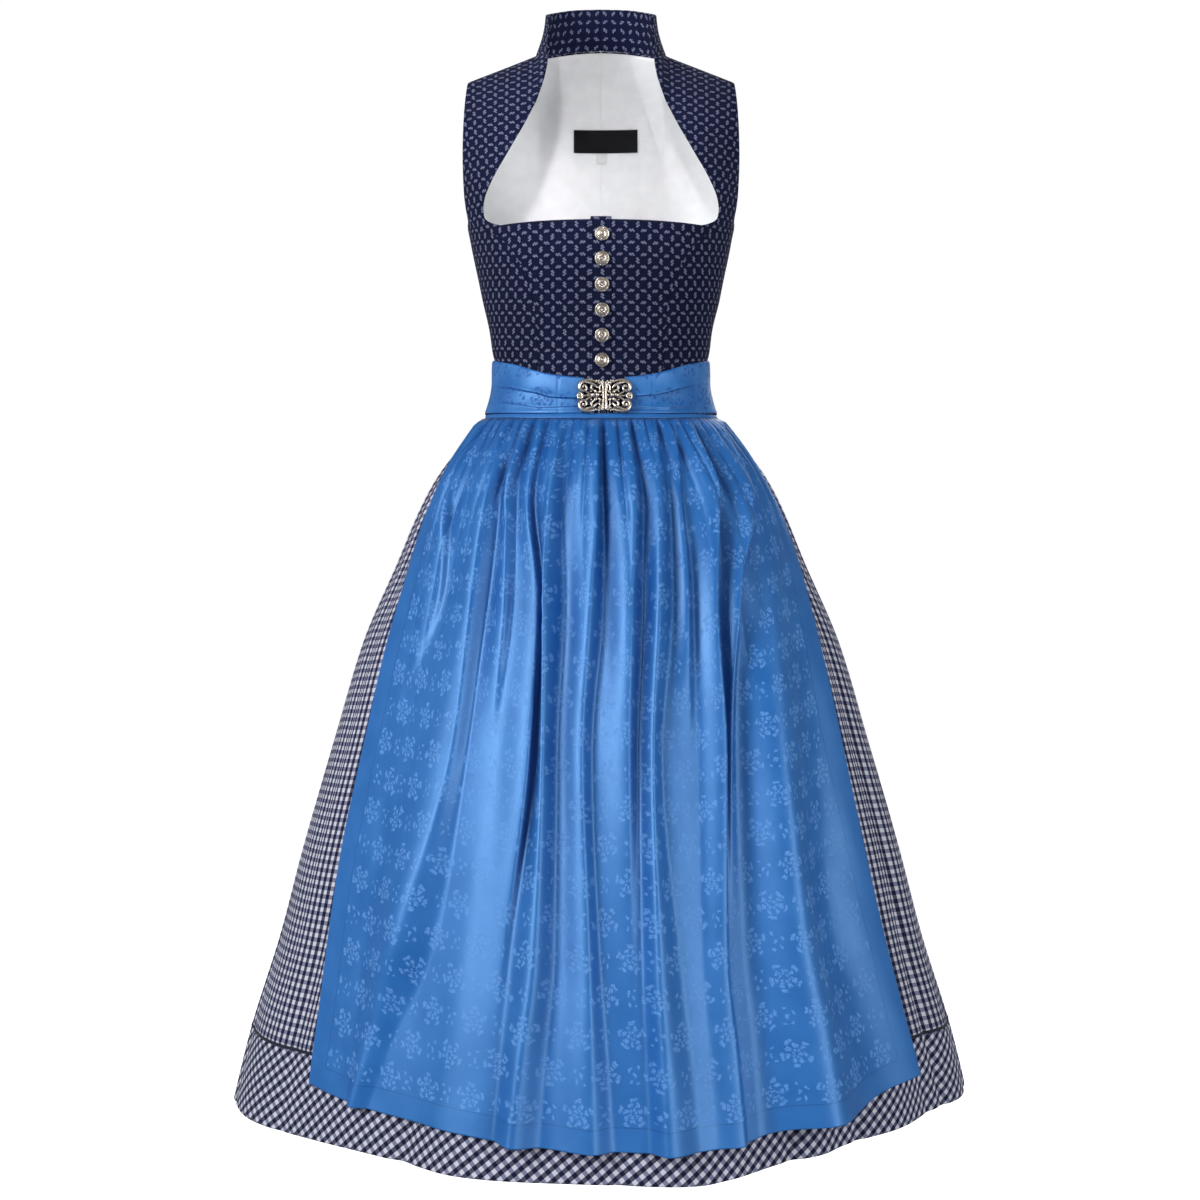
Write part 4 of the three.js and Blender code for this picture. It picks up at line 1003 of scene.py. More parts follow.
def back_spot(share, t):
    """x, y and z on half a back: t runs from the waist (0) past the underarm (1) to the top (2)."""
    form = BODICE[BACK]
    low_z = lerp(WAIST_SIDE, UNDERARM_Z, np.clip(t, 0, 1))
    low_x, low_y, _ = form.at(share, low_z)
    up = np.clip(t - 1, 0, 1)
    neck_x = SHOULDER["neckX"] * np.sin(np.pi * np.clip(share, 0, 0.5))
    neck_z = lerp(SHOULDER["neckZ"], NECK_BACK_Z,
                  np.maximum(1 - (neck_x / SHOULDER["neckX"]) ** 2, 0) ** NECK_BACK_ROUND)
    over = np.clip(2 * share - 1, 0, 1)
    top_x = np.where(share < 0.5, neck_x, lerp(SHOULDER["neckX"], SHOULDER["tipX"], over))
    top_z = np.where(share < 0.5, neck_z, lerp(SHOULDER["neckZ"], SHOULDER["tipZ"], over))
    z = lerp(UNDERARM_Z, top_z, up)
    edge_z = lerp(UNDERARM_Z, SHOULDER["tipZ"], up)
    start_x = read(ARMHOLE, np.array(float(UNDERARM_Z)), "x")
    edge = read(ARMHOLE, edge_z, "x") / lerp(start_x, SHOULDER["tipX"], up)
    under_x = form.at(share, np.full(np.shape(share), float(UNDERARM_Z)))[0]
    x = lerp(under_x, top_x, up) * lerp(1, edge, share * share)
    y = np.where(t <= 1, low_y, bodice_y(BACK, x, z))
    return np.where(t <= 1, low_x, x), y, np.where(t <= 1, low_z, z)


def back_layer(name, side, depth, materials, thick, roll_depth, crease, inward=False):
    def place(share, t):
        x, y, z = back_spot(share, t)
        roll = turned_in(share * 120, 1.6, roll_depth) + turned_in((1 - share) * 120, 1.6, roll_depth)
        x = side * np.maximum(x, STITCHED / 2)
        return bodice_point(BACK, x, y, z, roll - depth + crease * soft_creases(x, z))

    columns = edged(0, 120, 36) / 120
    return shell(name, columns if side > 0 else columns[::-1], even(0, 2, 110), place, materials,
                 thick, uv=bodice_uv(BACK, 0, side * 4), inward=inward)


LINING_DEPTH = BODICE_CLOTH + SEAM + 1.0
for word, side in SIDES:
    back = back_layer(f"back_panel_{word}", side, 0, [PRINT], 1.4, 0.7, 0.6)
    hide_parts(f"back_{word}")
    lining = back_layer(f"back_lining_{word}", side, LINING_DEPTH, [LINING], 0.7, -0.35, 0.9, inward=True)
    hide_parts(f"lining_back_{word}")

# %% Buttonhole band
BAND_TOP = -181


def band_place(x, t):
    z = lerp(waist_height(x / 190), BAND_TOP, t)
    roll = turned_in(BAND_HALF_WIDTH - np.abs(x), 1.2, 0.6) + turned_in((1 - t) * 190, 1.2, 0.5)
    return on_bodice(FRONT, x, z, 0.8 + roll)


button_band = shell("buttonhole_band", edged(-BAND_HALF_WIDTH + 0.03, BAND_HALF_WIDTH - 0.03, 10, 2),
                    even(0, 1, 60), band_place, [PRINT, LINING], 1.6, uv=bodice_uv(FRONT, 0, 1.5))
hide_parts("button_band")

# %% Stand collar, print outside and a bias facing inside
COLLAR_TOP = [(56.6, -15, 58), (61, 8, 66), (53, 35, 76), (31, 55, 85), (0, 62, 88)]
COLLAR_SHOULDER_SHARE = 0.28


def collar_top(share):
    """A smooth curve through the points of the collar's top edge."""
    points = np.array(COLLAR_TOP, float)
    points = np.vstack([2 * points[0] - points[1], points, 2 * points[-1] - points[-2]])
    along = np.clip(share, 0, 1) * (len(COLLAR_TOP) - 1)
    i = np.minimum(along.astype(int), len(COLLAR_TOP) - 2)
    t = (along - i)[..., None]
    a, b, c, d = (points[i + k] for k in range(4))
    return 0.5 * (2 * b + (c - a) * t + (2 * a - 5 * b + 4 * c - d) * t**2 + (3 * b - a - 3 * c + d) * t**3)


def neck_seam(share):
    part = np.clip(share / COLLAR_SHOULDER_SHARE, 0, 1)
    z = lerp(3, SHOULDER["neckZ"], part)
    front = on_bodice(FRONT, read(NECKLINE, z, "x"), z, 0)
    back_share = 0.5 * (1 - (share - COLLAR_SHOULDER_SHARE) / (1 - COLLAR_SHOULDER_SHARE))
    x, _, top = back_spot(np.clip(back_share, 0, 0.5), np.full(share.shape, 2.0))
    return np.where((share < COLLAR_SHOULDER_SHARE)[..., None], front, on_bodice(BACK, x, top, 0))


SEAM_BETWEEN_SPRIGS = 0.00516


def collar_uv(u, v, points):
    """Lengths round the collar from the centre back, so that both halves meet there."""
    ring_steps = np.linalg.norm(np.diff(points, axis=1), axis=-1).mean(0)
    round_ = np.concatenate([[0], np.cumsum(ring_steps)])
    round_ = round_ - round_[int(np.argmax(u[0]))]
    climb = np.linalg.norm(np.diff(points, axis=0), axis=-1).mean(1)
    up = np.concatenate([[0], np.cumsum(climb)])
    return stacked(round_[None, :], up[:, None], 0)[..., :2] + SEAM_BETWEEN_SPRIGS


def collar_half(word, side):
    def place(share, up):
        seam = neck_seam(share)
        seam[..., 2] += STITCHED
        point = lerp(seam, collar_top(share), up[..., None])
        out = stacked(point[..., 0], point[..., 1] - 20, 0 * up)
        out /= np.linalg.norm(out, axis=-1, keepdims=True)
        out[..., 0] *= smooth(point[..., 0], 0, 20)
        out /= np.linalg.norm(out, axis=-1, keepdims=True)
        hollow = 2 * np.sin(np.pi * up) * smooth(share, 0, 0.3)
        roll = (turned_in((1 - up) * 45, 1.5, 0.6) + turned_in(share * 130, 1.5, 0.5)
                + turned_in(up * 45, 1.2, 0.5))
        point = point + out * (roll - hollow)[..., None]
        point[..., 0] = side * np.maximum(point[..., 0], STITCHED / 2)
        return point

    columns = np.concatenate([[0, 0.004, 0.01], even(0.02, 1, 60)])
    rows = np.concatenate([[0, 0.012, 0.03], even(0.05, 0.95, 14), [0.975, 0.99, 1]])
    piece = shell(f"stand_collar_{word}", columns[::-1] if side > 0 else columns, rows, place,
                  [PRINT, PRINT_BIAS], 2.1, uv=collar_uv)
    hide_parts(f"collar_{word}")


for half_word, half_side in SIDES:
    collar_half(half_word, half_side)

# %% Bare label and tab on the lining


def sewn_inside(name, left, right, bottom, top, gap, material, node):
    def place(x, z):
        edge = np.minimum(np.minimum(x - left, right - x), np.minimum(z - bottom, top - z))
        lift = -(LINING_DEPTH + gap + 0.35 * np.clip(edge / 2, 0, 1))
        return on_bodice(BACK, x, z, lift)

    piece = shell(name, even(left, right, 40), even(bottom, top, 16), place, [material], 0.5, inward=True)
    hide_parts(node)


sewn_inside("bare_label", -32, 43, -66, -40, 1.9, LABEL_BLACK, "label")
sewn_inside("bare_size_tab", -5, 6.5, -78.4, -66.4, 1.5, TAB_WHITE, "size_tab")

# %% [markdown]
# ## The skirt
# The skirt is two straight lengths, gathered into the waist seam: sixteen gathers in front
# and sixteen behind, which open out into a few large folds. Gathers hide most of the
# cloth near the waist in their valleys, so on each ridge the check keeps its size and in
# each valley it is crowded. A cloth simulation gives gathers too, but not their number or
# their place, so here they are waves along the waist, and the UV map does the crowding.

# %% Folds and gathers
SKIRT_GATHERS = 16
GATHER_DEPTH = table("z depth", (-860, 0), (-720, 0.8), (-600, 2.2), (-520, 3.6), (-450, 4.4),
                     (-410, 3.2), (-388, 2), (-372, 1.2))
FOLDS = {
    FRONT: table(
        "at left right depth start",
        (-0.78, 0.15, 0.22, 8, -480),
        (-0.24, 0.13, 0.22, 13, -430),
        (0.155, 0.15, 0.17, 14, -430),
        (0.4, 0.07, 0.06, 6, -560),
        (0.59, 0.12, 0.13, 9, -500),
        (0.84, 0.1, 0.12, 8, -460),
    ),
    BACK: table(
        "at left right depth start",
        (-0.84, 0.14, 0.16, 10, -470),
        (-0.55, 0.13, 0.15, 15, -440),
        (-0.26, 0.15, 0.12, 13, -480),
        (0.05, 0.18, 0.15, 17, -425),
        (0.34, 0.12, 0.15, 12, -460),
        (0.63, 0.16, 0.12, 15, -440),
        (0.87, 0.12, 0.12, 9, -490),
    ),
}
NARROW_CREASES = {
    FRONT: table("at reach depth start", (-0.93, 0.035, 1.6, -560), (-0.66, 0.03, 1.4, -620),
                 (-0.355, 0.035, 3.0, -800), (0.03, 0.025, 1.6, -900), (0.215, 0.03, 1.4, -860),
                 (0.345, 0.025, 3.2, -760), (0.48, 0.02, 2.6, -820), (0.70, 0.03, 1.6, -640),
                 (0.77, 0.022, 2.4, -600), (0.93, 0.03, 1.5, -560)),
    BACK: table("at reach depth start", (-0.95, 0.03, 1.5, -560), (-0.70, 0.03, 2.2, -560),
                (-0.42, 0.03, 2.4, -640), (-0.12, 0.03, 2.0, -520), (0.19, 0.03, 2.4, -600),
                (0.48, 0.03, 2.2, -700), (0.76, 0.03, 2.0, -560), (0.94, 0.03, 1.5, -600)),
}
HEM_LINES = {
    FRONT: table("share piping hem", (-1, -1042, -1124), (-0.8, -1037, -1119), (-0.5, -1036, -1117),
                 (-0.25, -1040, -1122), (0.16, -1042, -1126), (0.35, -1036, -1117),
                 (0.7, -1028, -1104), (1, -1034, -1107)),
    BACK: table("share piping hem", (-1, -1042, -1124), (0, -1038, -1119), (1, -1034, -1107)),
}
HEM_Z = -1135


def ridge(distance, left, right):
    part = np.minimum(np.abs(distance) / np.where(distance < 0, left, right), 1)
    return np.cos(np.pi / 2 * part) ** 2


def large_folds(half, share, z):
    rise = 0 * z
    for at, left, right, depth, start in zip(*FOLDS[half].values()):
        grown = np.clip((start - z) / (start - HEM_Z), 0, 1)
        rise = rise + depth * grown**0.8 * ridge(share - at, left, right)
    return rise * (1 - share**6)


def narrow_creases(half, share, z):
    """Creases that sink in, so they never meet what lies on the skirt."""
    sink = 0 * z
    for at, reach, depth, start in zip(*NARROW_CREASES[half].values()):
        grown = np.clip((start - z) / 240, 0, 1)
        drift = 0.012 * np.sin(z / 70 + 9 * at)
        sink = sink - depth * grown * ridge(share - at - drift, reach, reach)
    return sink


def uneven(place):
    return place + 0.022 * np.sin(4.1 * place + 0.7) * (1 - place * place)


def gather_depth(z):
    return read(GATHER_DEPTH, z, "depth")


def gather(place, count, sharp=1.0):
    wave = 0.5 - 0.5 * np.cos(np.pi * count * (place + 1))
    return wave**sharp * (0.78 + 0.22 * np.sin(11 * place + 2))


def skirt_point(half, share, z, lift):
    x, y, out = SKIRT[half].at(share, z)
    rise = large_folds(half, share, z) + lift
    return stacked(x, y + half * STITCHED / 2, z) + out * rise[..., None]


def eased(place):
    """Places along a length of cloth that is eased in towards its side seams."""
    beyond = np.maximum(np.abs(place) - 0.64, 0)
    return place - 0.30 * np.sign(place) * beyond**2 / (beyond + 0.08)


def crowded(place, count, open_share, power=6):
    """Places along gathered cloth: even on each ridge, and crowded in each valley."""
    turns = (place + 1) * count / 2
    whole = np.floor(np.minimum(turns, count - 1e-9))
    part = turns - whole - 0.5
    hidden = np.sign(part) * 0.5 * np.abs(2 * part) ** power
    return (whole + 0.5 + open_share * part + (1 - open_share) * hidden - count / 2) / (count / 2)


print("folds:", {half: len(t["at"]) for half, t in FOLDS.items()})

# %% The skirt's two lengths


def piping_line(half, share, name="piping"):
    return read(HEM_LINES[half], share, name, "share")


def skirt_panel(word, half):
    form = SKIRT[half]

    def height(count, t):
        share = uneven(count)
        waist = waist_height(share) if half == FRONT else np.full(share.shape, float(WAIST_SIDE))
        return lerp(piping_line(half, share) + STITCHED, waist - SEAM, t)

    def place(count, t):
        share, z = uneven(count), height(count, t)
        uncovered = 1 if half == BACK else smooth(np.abs(share), 0.8, 0.95)
        deeper = uncovered * smooth(z, -760, -520) * smooth(-z, 388, 430)
        fine = 0.5 * np.sin(61 * share + z / 60) * smooth(z, -900, -600)
        lift = gather_depth(z) * (1 + 0.5 * deeper) * gather(count, SKIRT_GATHERS, 0.8)
        roll = turned_in(t * 690, 1.6, 0.6)
        return skirt_point(half, share, z, lift + fine * deeper + narrow_creases(half, share, z) + roll)

    def uv(count, t, points):
        length = form.level(height(count, t), form.length)
        spread = crowded(count, SKIRT_GATHERS, length / form.length[0])
        return np.stack([eased(spread) * form.length[0] * MM, lengths_up(points)], -1)

    rows = np.concatenate([[0, 0.0008, 0.002], np.linspace(0.005, 1, 96)])
    piece = shell(f"skirt_length_{word}", even(-1, 1, SKIRT_GATHERS * 20), rows, place, [CHECK], 0.9, uv=uv)
    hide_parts(f"skirt_{word}")
    return piece


skirt = {half: skirt_panel(word, half) for word, half in HALVES}

# %% Piping and the hem band on the bias
PIPING_HEIGHT = 3.0


def piping_strip(word, half):
    def place(share, up):
        z = piping_line(half, share) - PIPING_HEIGHT * (1 - up)
        round_out = 0.9 * np.sqrt(np.clip(1 - (2 * up - 1) ** 2, 0, 1)) - 0.35
        return skirt_point(half, share, z, round_out + narrow_creases(half, share, z))

    up = 0.5 - 0.5 * np.cos(np.linspace(0, np.pi, 9))
    piece = shell(f"piping_{word}_cord", even(-1, 1, 320), up, place, [PIPING], 1.2)
    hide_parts(f"piping_{word}")
    return piece


def hem_panel(word, half):
    def place(share, t):
        top = piping_line(half, share) - PIPING_HEIGHT - STITCHED
        z = lerp(piping_line(half, share, "hem"), top, t)
        roll = turned_in((1 - t) * 84, 1.8, 0.8) + turned_in(t * 84, 2.2, 1.0)
        facing_edge = 0.35 * np.exp(-(((t - 0.06) * 84 / 2.5) ** 2))
        return skirt_point(half, share, z, roll - facing_edge + narrow_creases(half, share, z))

    def uv(share, t, points):
        lengths = cloth_lengths(points, points.shape[1] // 2)
        half_length = SKIRT[half].length[0] * MM
        lengths[..., 0] = eased(lengths[..., 0] / half_length) * half_length
        return lengths

    t = np.concatenate([[0, 0.006, 0.014, 0.025], even(0.04, 0.97, 14), [0.985, 1]])
    piece = shell(f"hem_band_{word}_bias", even(-1, 1, 320), t, place, [CHECK_BIAS], 1.5, uv=uv)
    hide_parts(f"hem_band_{word}")
    return piece


for word, half in HALVES:
    piping_strip(word, half)
    hem_panel(word, half)

# %% [markdown]
# ## The apron
# Satin is stiff enough to stand in a few long folds, and each one is lopsided: it rises
# gently and then drops away, so the light runs down one side of it. A fold is written as
# two lines that run down the cloth, its ridge and the valley beside it, with the drop
# between them, each at six heights. Between the lines the cloth goes smoothly up and
# down. Near the band two dozen fine gathers lie over that and fade out.

# %% Lines of the apron's folds, in millimetres from the middle
FOLD_HEIGHTS = (-1008, -909, -725, -570, -478, -400)
APRON_FOLDS = {
    "far_left": dict(ridge=(-250, -241, -216, -160, -151, -120), valley=(-242, -234, -209, -154, -146, -114),
                     drop=(0, 0, 0, 2, 5, 3)),
    "left_long": dict(ridge=(-218, -190, -140, -121, -109, -96), valley=(-196, -155, -128, -109, -98, -88),
                      drop=(6, 12, 9, 9, 7, 3)),
    "left_short": dict(ridge=(-130, -120, -107, -91, -90, -73), valley=(-124, -113, -100, -84, -82, -68),
                       drop=(0, 0, 0, 5, 5, 3)),
    "left_slanting": dict(ridge=(-100, -90, -67, -60, -69, -57), valley=(-94, -85, -62, -55, -65, -52),
                          drop=(0, 1, 6, 4, 5, 3)),
    "left_middle": dict(ridge=(-72, -60, -54, -53, -47, -41), valley=(-49, -42, -41, -34, -36, -34),
                        drop=(10, 10, 10, 12, 9, 4)),
    "middle": dict(ridge=(-10, -12, -18, -10, -4, -4), valley=(9, 0, -8, 3, 2, 1),
                   drop=(8, 7, 7, 9, 8, 4)),
    "right_middle": dict(ridge=(30, 27, 25, 27, 31, 25), valley=(40, 37, 36, 41, 41, 30),
                         drop=(0, 1, 6, 8, 7, 3)),
    "right_broad": dict(ridge=(56, 51, 47, 53, 55, 52), valley=(85, 74, 58, 70, 68, 57),
                        drop=(9, 9, 8, 9, 7, 3)),
    "right_short": dict(ridge=(92, 86, 84, 82, 76, 70), valley=(98, 92, 91, 90, 82, 75),
                        drop=(0, 0, 0, 5, 4, 3)),
    "right_sharp": dict(ridge=(124, 115, 116, 108, 110, 86), valley=(129, 120, 122, 115, 116, 93),
                        drop=(6, 7, 9, 9, 8, 4)),
    "right_outer": dict(ridge=(134, 126, 125, 131, 143, 118), valley=(141, 134, 132, 139, 153, 124),
                        drop=(0, 0, 3, 8, 8, 4)),
    "far_right": dict(ridge=(196, 180, 169, 166, 168, 140), valley=(257, 227, 213, 190, 180, 150),
                      drop=(20, 18, 14, 4, 0, 0)),
}
FOLD_STRENGTH = 1.75
LINE_RUN_ON = 0.85  # how far a fold line runs on below the last row that is given
EDGE_RISE_SHARE = 0.35
OVER_FOLDS = 1.06  # how much longer the cloth is than the level way across it
APRON_LOWEST = -1100
APRON_EDGES = table("z left right", (-1100, 291, 312), (-1060, 289, 306), (-990, 281, 289),
                    (-870, 268, 263), (-750, 246, 241), (-635, 221, 222), (-560, 201, 208),
                    (-492, 180, 189), (-446, 159, 166), (-386, 122, 124))
APRON_HEM = table("share z", (-1, -1064), (-0.75, -1075), (-0.4, -1083), (-0.1, -1093), (0.15, -1095),
                  (0.38, -1093), (0.52, -1083), (0.75, -1074), (1, -1057))
APRON_GATHERS = 24
APRON_GATHER_DEPTH = table("below depth", (0, 2.8), (10, 6.6), (40, 6.2), (85, 3.8), (150, 1.3), (230, 0))
BAND_LINES = table("share top bottom", (0, -349, -385), (0.3, -342, -384), (0.6, -328, -381),
                   (1, -318, -376.5), (2, -322, -375))
HEADING_HEIGHT = 5.0
SKIRT_CLOTH = 1.6


def fold_lines(z):
    """The places and heights of every ridge and valley at one height of the apron."""
    heights = np.array((APRON_LOWEST, *FOLD_HEIGHTS), float)
    places, rises = [], []
    for fold in APRON_FOLDS.values():
        rows = {key: np.array((value[0], *value), float) for key, value in fold.items()}
        for line in ("ridge", "valley"):
            rows[line][0] += LINE_RUN_ON * (rows[line][1] - rows[line][2])
        rows["z"] = heights
        drop = FOLD_STRENGTH * read(rows, z, "drop") * smooth(-z, 384, 402)
        places += [read(rows, z, "ridge"), read(rows, z, "valley")]
        rises += [drop, 0 * drop]
    return np.array(places), np.array(rises)


def apron_rise(x, z):
    """How far the cloth stands out at x and z, between the fold lines."""
    rise = np.zeros(x.shape)
    for i in range(len(x)):
        places, rises = fold_lines(np.array(np.mean(z[i])))
        left = -read(APRON_EDGES, np.mean(z[i]), "left") - 1
        right = read(APRON_EDGES, np.mean(z[i]), "right") + 1
        places = np.concatenate([[left], np.clip(places, left + 2, right - 2), [right]])
        rises = np.concatenate([[0], rises, [rises[-2] * EDGE_RISE_SHARE]])
        order = np.maximum.accumulate(places + np.arange(len(places)) * 1e-3)
        k = np.clip(np.searchsorted(order, x[i], side="right"), 1, len(order) - 1)
        t = np.clip((x[i] - order[k - 1]) / (order[k] - order[k - 1]), 0, 1)
        rise[i] = lerp(rises[k - 1], rises[k], t * t * (3 - 2 * t))
    return rise


APRON_LEFT = SKIRT[FRONT].share_of(lambda z: read(APRON_EDGES, z, "left"))
APRON_RIGHT = SKIRT[FRONT].share_of(lambda z: read(APRON_EDGES, z, "right"))


def edge_share(across, z):
    """The share at which the apron ends, on the side on which across lies."""
    left, right = (np.interp(z, SKIRT[FRONT].z, edge) for edge in (APRON_LEFT, APRON_RIGHT))
    return np.where(across < 0, left, right)


def apron_share(across, z):
    return across * edge_share(across, z)


def apron_top(across):
    share = np.abs(apron_share(across, np.full(np.shape(across), -385.0)))
    return read(BAND_LINES, share, "bottom", "share") - SEAM


print("apron folds:", ", ".join(APRON_FOLDS))

# %% The apron's cloth


def apron_height(across, t):
    top = apron_top(across) - HEADING_HEIGHT - SEAM
    return lerp(read(APRON_HEM, across, "z", "share"), top, t)


def apron_place(count, t):
    across = uneven(count)
    z = apron_height(across, t)
    share = apron_share(across, z)
    x = SKIRT[FRONT].at(share, z)[0]
    below = apron_height(across, np.ones(t.shape)) - z
    stretch = 1 + 0.35 * np.sin(9 * count + 2) + 0.2 * np.sin(23 * count)
    fine = read(APRON_GATHER_DEPTH, below / stretch, "depth", "below")
    turns = (count + 1) * APRON_GATHERS / 2
    ripple = np.abs(np.sin(np.pi * (turns + 0.06 * np.sin(below / 37 + 5 * count)))) ** 0.75
    size = 0.72 + 0.28 * np.sin(13 * count + 1)
    pucker = 2.2 * np.exp(-below / 38) * smooth(below, 0, 5) * np.abs(np.sin(2 * np.pi * turns + 0.4)) ** 0.6
    lower = smooth(-z, 850, 1030)
    lift = gather_depth(z) + lerp(1.1, 2.9, lower) + SKIRT_CLOTH
    buckle = 0.35 * np.sin(z / 33 + 3 * np.sin(count * 7)) * np.sin(count * 31 + z / 90)
    rise = apron_rise(x, z) + fine * ripple * size + pucker + buckle
    return skirt_point(FRONT, share, z, lift + rise)


def apron_uv(count, t, points):
    across = uneven(count)
    z = apron_height(across, t)
    form = SKIRT[FRONT]
    width = form.level(z, form.length) * edge_share(across, z)
    at_hem = np.where(across < 0, width[0][0], width[0][-1])
    spread = crowded(count, APRON_GATHERS, np.clip(width / at_hem, 0, 1), 4)
    return np.stack([spread * at_hem * OVER_FOLDS * MM, lengths_up(points)], -1)


def apron_from_edge(count, t):
    """Millimetres from the apron's nearest finished edge."""
    across = uneven(count)
    z = apron_height(across, t)
    width = np.abs(SKIRT[FRONT].at(apron_share(np.sign(across), z), z)[0])
    sides = width * (1 - np.abs(across)) * OVER_FOLDS
    return np.minimum(sides, z - apron_height(across, 0 * t))


count_steps = np.unique(np.round(np.concatenate([even(-1, 1, APRON_GATHERS * 16), [-0.998, 0.998]]), 6))
rise_steps = np.concatenate([[0, 0.0015, 0.004], even(0.008, 0.80, 90), even(0.80, 1, 34)[1:]])
apron = shell("apron_cloth", count_steps, rise_steps, apron_place, [SATIN], 0.8, uv=apron_uv,
              marks={"from_edge": apron_from_edge})
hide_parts("apron_skirt")

# %% The heading strip over the gathers


def heading_place(across, up):
    z = apron_top(across) + (SEAM - STITCHED) * up - HEADING_HEIGHT * (1 - up)
    roll = turned_in(up * 5, 1.2, 0.7) + turned_in((1 - up) * 5, 1.2, 0.7)
    return skirt_point(FRONT, apron_share(across, z), z, gather_depth(z) + 0.9 + SKIRT_CLOTH + roll)


heading = shell("apron_heading_strip", even(-1, 1, 160), even(0, 1, 10), heading_place, [SATIN_PLAIN], 1.0)
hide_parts("apron_heading")

# %% [markdown]
# ### The band and its tucks
# The band is one strip folded lengthwise, and the pull of the clasp draws it into a tuck
# on each side. A tuck is a small step in the cloth along a line, sharp near the clasp and
# gone by the side seam.

# %% The apron's band
BAND_CENTRE = 4.0
BAND_END = 22.0
CLASP_HEIGHT = -366.5
TUCKS = {
    -1: (table("x z", (24, -369), (50, -367.5), (68, -362), (103, -353), (125, -347)),
         table("x z", (24, -377.5), (60, -378), (95, -371), (125, -366))),
    1: (table("x z", (24, -368), (56, -364.5), (90, -354), (108, -348.5), (125, -344)),
        table("x z", (24, -378), (62, -379), (100, -373), (125, -368))),
}
TUCK_STEP = 3.4
FAR_FROM_EDGES = 99.0
BAND_STITCHING = {-1: 45, 1: 54}


def tuck_rise(side, x, z):
    rise = 0 * z
    for line, size in zip(TUCKS[side], (1.0, 0.45)):
        above = z - read(line, x, "z", "x")
        fade = 1 - smooth(x, 85, 124)
        fall = np.where(above > 0, np.exp(-above / 9), 0)
        rise = rise + size * TUCK_STEP * fade * fall * smooth(above, -0.2, 0.9)
    return rise


def apron_band(word, side):
    form = BAND[FRONT]
    at_clasp = np.argmin(np.abs(form.z - CLASP_HEIGHT))
    end_share = np.interp(BAND_END + side * BAND_CENTRE, form.x[at_clasp], SHARES)

    def place(round_, up):
        front = round_ <= 1
        passed = np.where(front, lerp(end_share, 1, round_), round_)
        top = read(BAND_LINES, passed, "top", "share")
        z = lerp(read(BAND_LINES, passed, "bottom", "share"), top, up)
        behind = lerp(SEAM / 2 / np.interp(z, BAND[BACK].z, BAND[BACK].length), 1, 2 - passed)
        x, y, out = form.at(np.clip(passed, 0, 1), z)
        x_back, y_back, out_back = BAND[BACK].at(np.clip(behind, 0, 1), z)
        x, y = np.where(front, x, x_back), np.where(front, y, y_back)
        out = np.where(front[..., None], out, out_back)
        edge = np.minimum(up, 1 - up) * 36
        groove = -0.5 * np.exp(-(((x - BAND_STITCHING[side]) / 0.9) ** 2)) * (y < 0)
        lift = turned_in(edge, 1.8, 0.9) + np.where(front, tuck_rise(side, x, z), 0) + groove
        lift = lift + 0.35 * np.sin(x / 11 + z / 7) * smooth(x, 40, 80)
        point = stacked(x, y, z) + out * lift[..., None]
        point[..., 0] *= side
        return point

    rounds = np.concatenate([even(0, 1, 130), even(1, 2, 70)[1:]])
    up = np.concatenate([[0, 0.012, 0.03], even(0.05, 0.95, 40), [0.97, 0.988, 1]])
    piece = shell(f"apron_band_{word}_cloth", rounds if side > 0 else rounds[::-1], up, place, [SATIN_BAND],
                  0.9, marks={"from_edge": lambda u, v: np.full(u.shape, FAR_FROM_EDGES)})
    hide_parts(f"apron_band_{word}")


for half_word, half_side in SIDES:
    apron_band(half_word, half_side)

# %% [markdown]
# ## Buttons and clasp
# The buttons are domed, with a rolled rim and a bead in the middle: a profile spun round
# its axis, as on a lathe. The clasp is cast openwork, scrolls round a blossom, so it is
# made of tapering wires and beads.

# %% Six domed buttons
BUTTON_RADIUS = 7.7
BUTTON_X = 1.0
BUTTON_TOP, BUTTON_PITCH, BUTTON_COUNT = -200.0, 25.6, 6
RIM_BEADS, RIM_RADIUS, RIM_HEIGHT, RIM_BEAD_SIZE = 14, 4.6, 2.9, 0.42
BUTTON_PROFILE = [(0, 4.3), (0.8, 4.15), (1.3, 3.7), (1.5, 2.9), (1.9, 2.7), (2.3, 3.2), (2.9, 3.55),
                  (3.4, 3.5), (4.2, 3.15), (4.9, 2.7), (5.3, 2.2), (5.5, 1.5), (5.9, 1.2), (6.3, 1.5),
                  (6.7, 1.9), (7.1, 1.85), (7.5, 1.4), (7.7, 0.9), (7.5, 0.4), (6.9, 0.1), (0, 0.1)]


def spun_button():
    bm = bmesh.new()
    verts = [bm.verts.new((x * MM, 0, y * MM)) for x, y in BUTTON_PROFILE]
    edges = [bm.edges.new(pair) for pair in zip(verts, verts[1:])]
    bmesh.ops.spin(bm, geom=verts + edges, cent=(0, 0, 0), axis=(0, 0, 1), angle=2 * math.pi,
                   steps=40, use_merge=True, use_duplicate=False)
    bmesh.ops.remove_doubles(bm, verts=bm.verts, dist=1e-6)
    for k in range(RIM_BEADS):
        angle = 2 * math.pi * k / RIM_BEADS
        spot = (RIM_RADIUS * MM * math.cos(angle), RIM_RADIUS * MM * math.sin(angle), RIM_HEIGHT * MM)
        bmesh.ops.create_icosphere(bm, subdivisions=1, radius=RIM_BEAD_SIZE * MM,
                                   matrix=Matrix.Translation(spot))
    bmesh.ops.recalc_face_normals(bm, faces=bm.faces)
    return bm


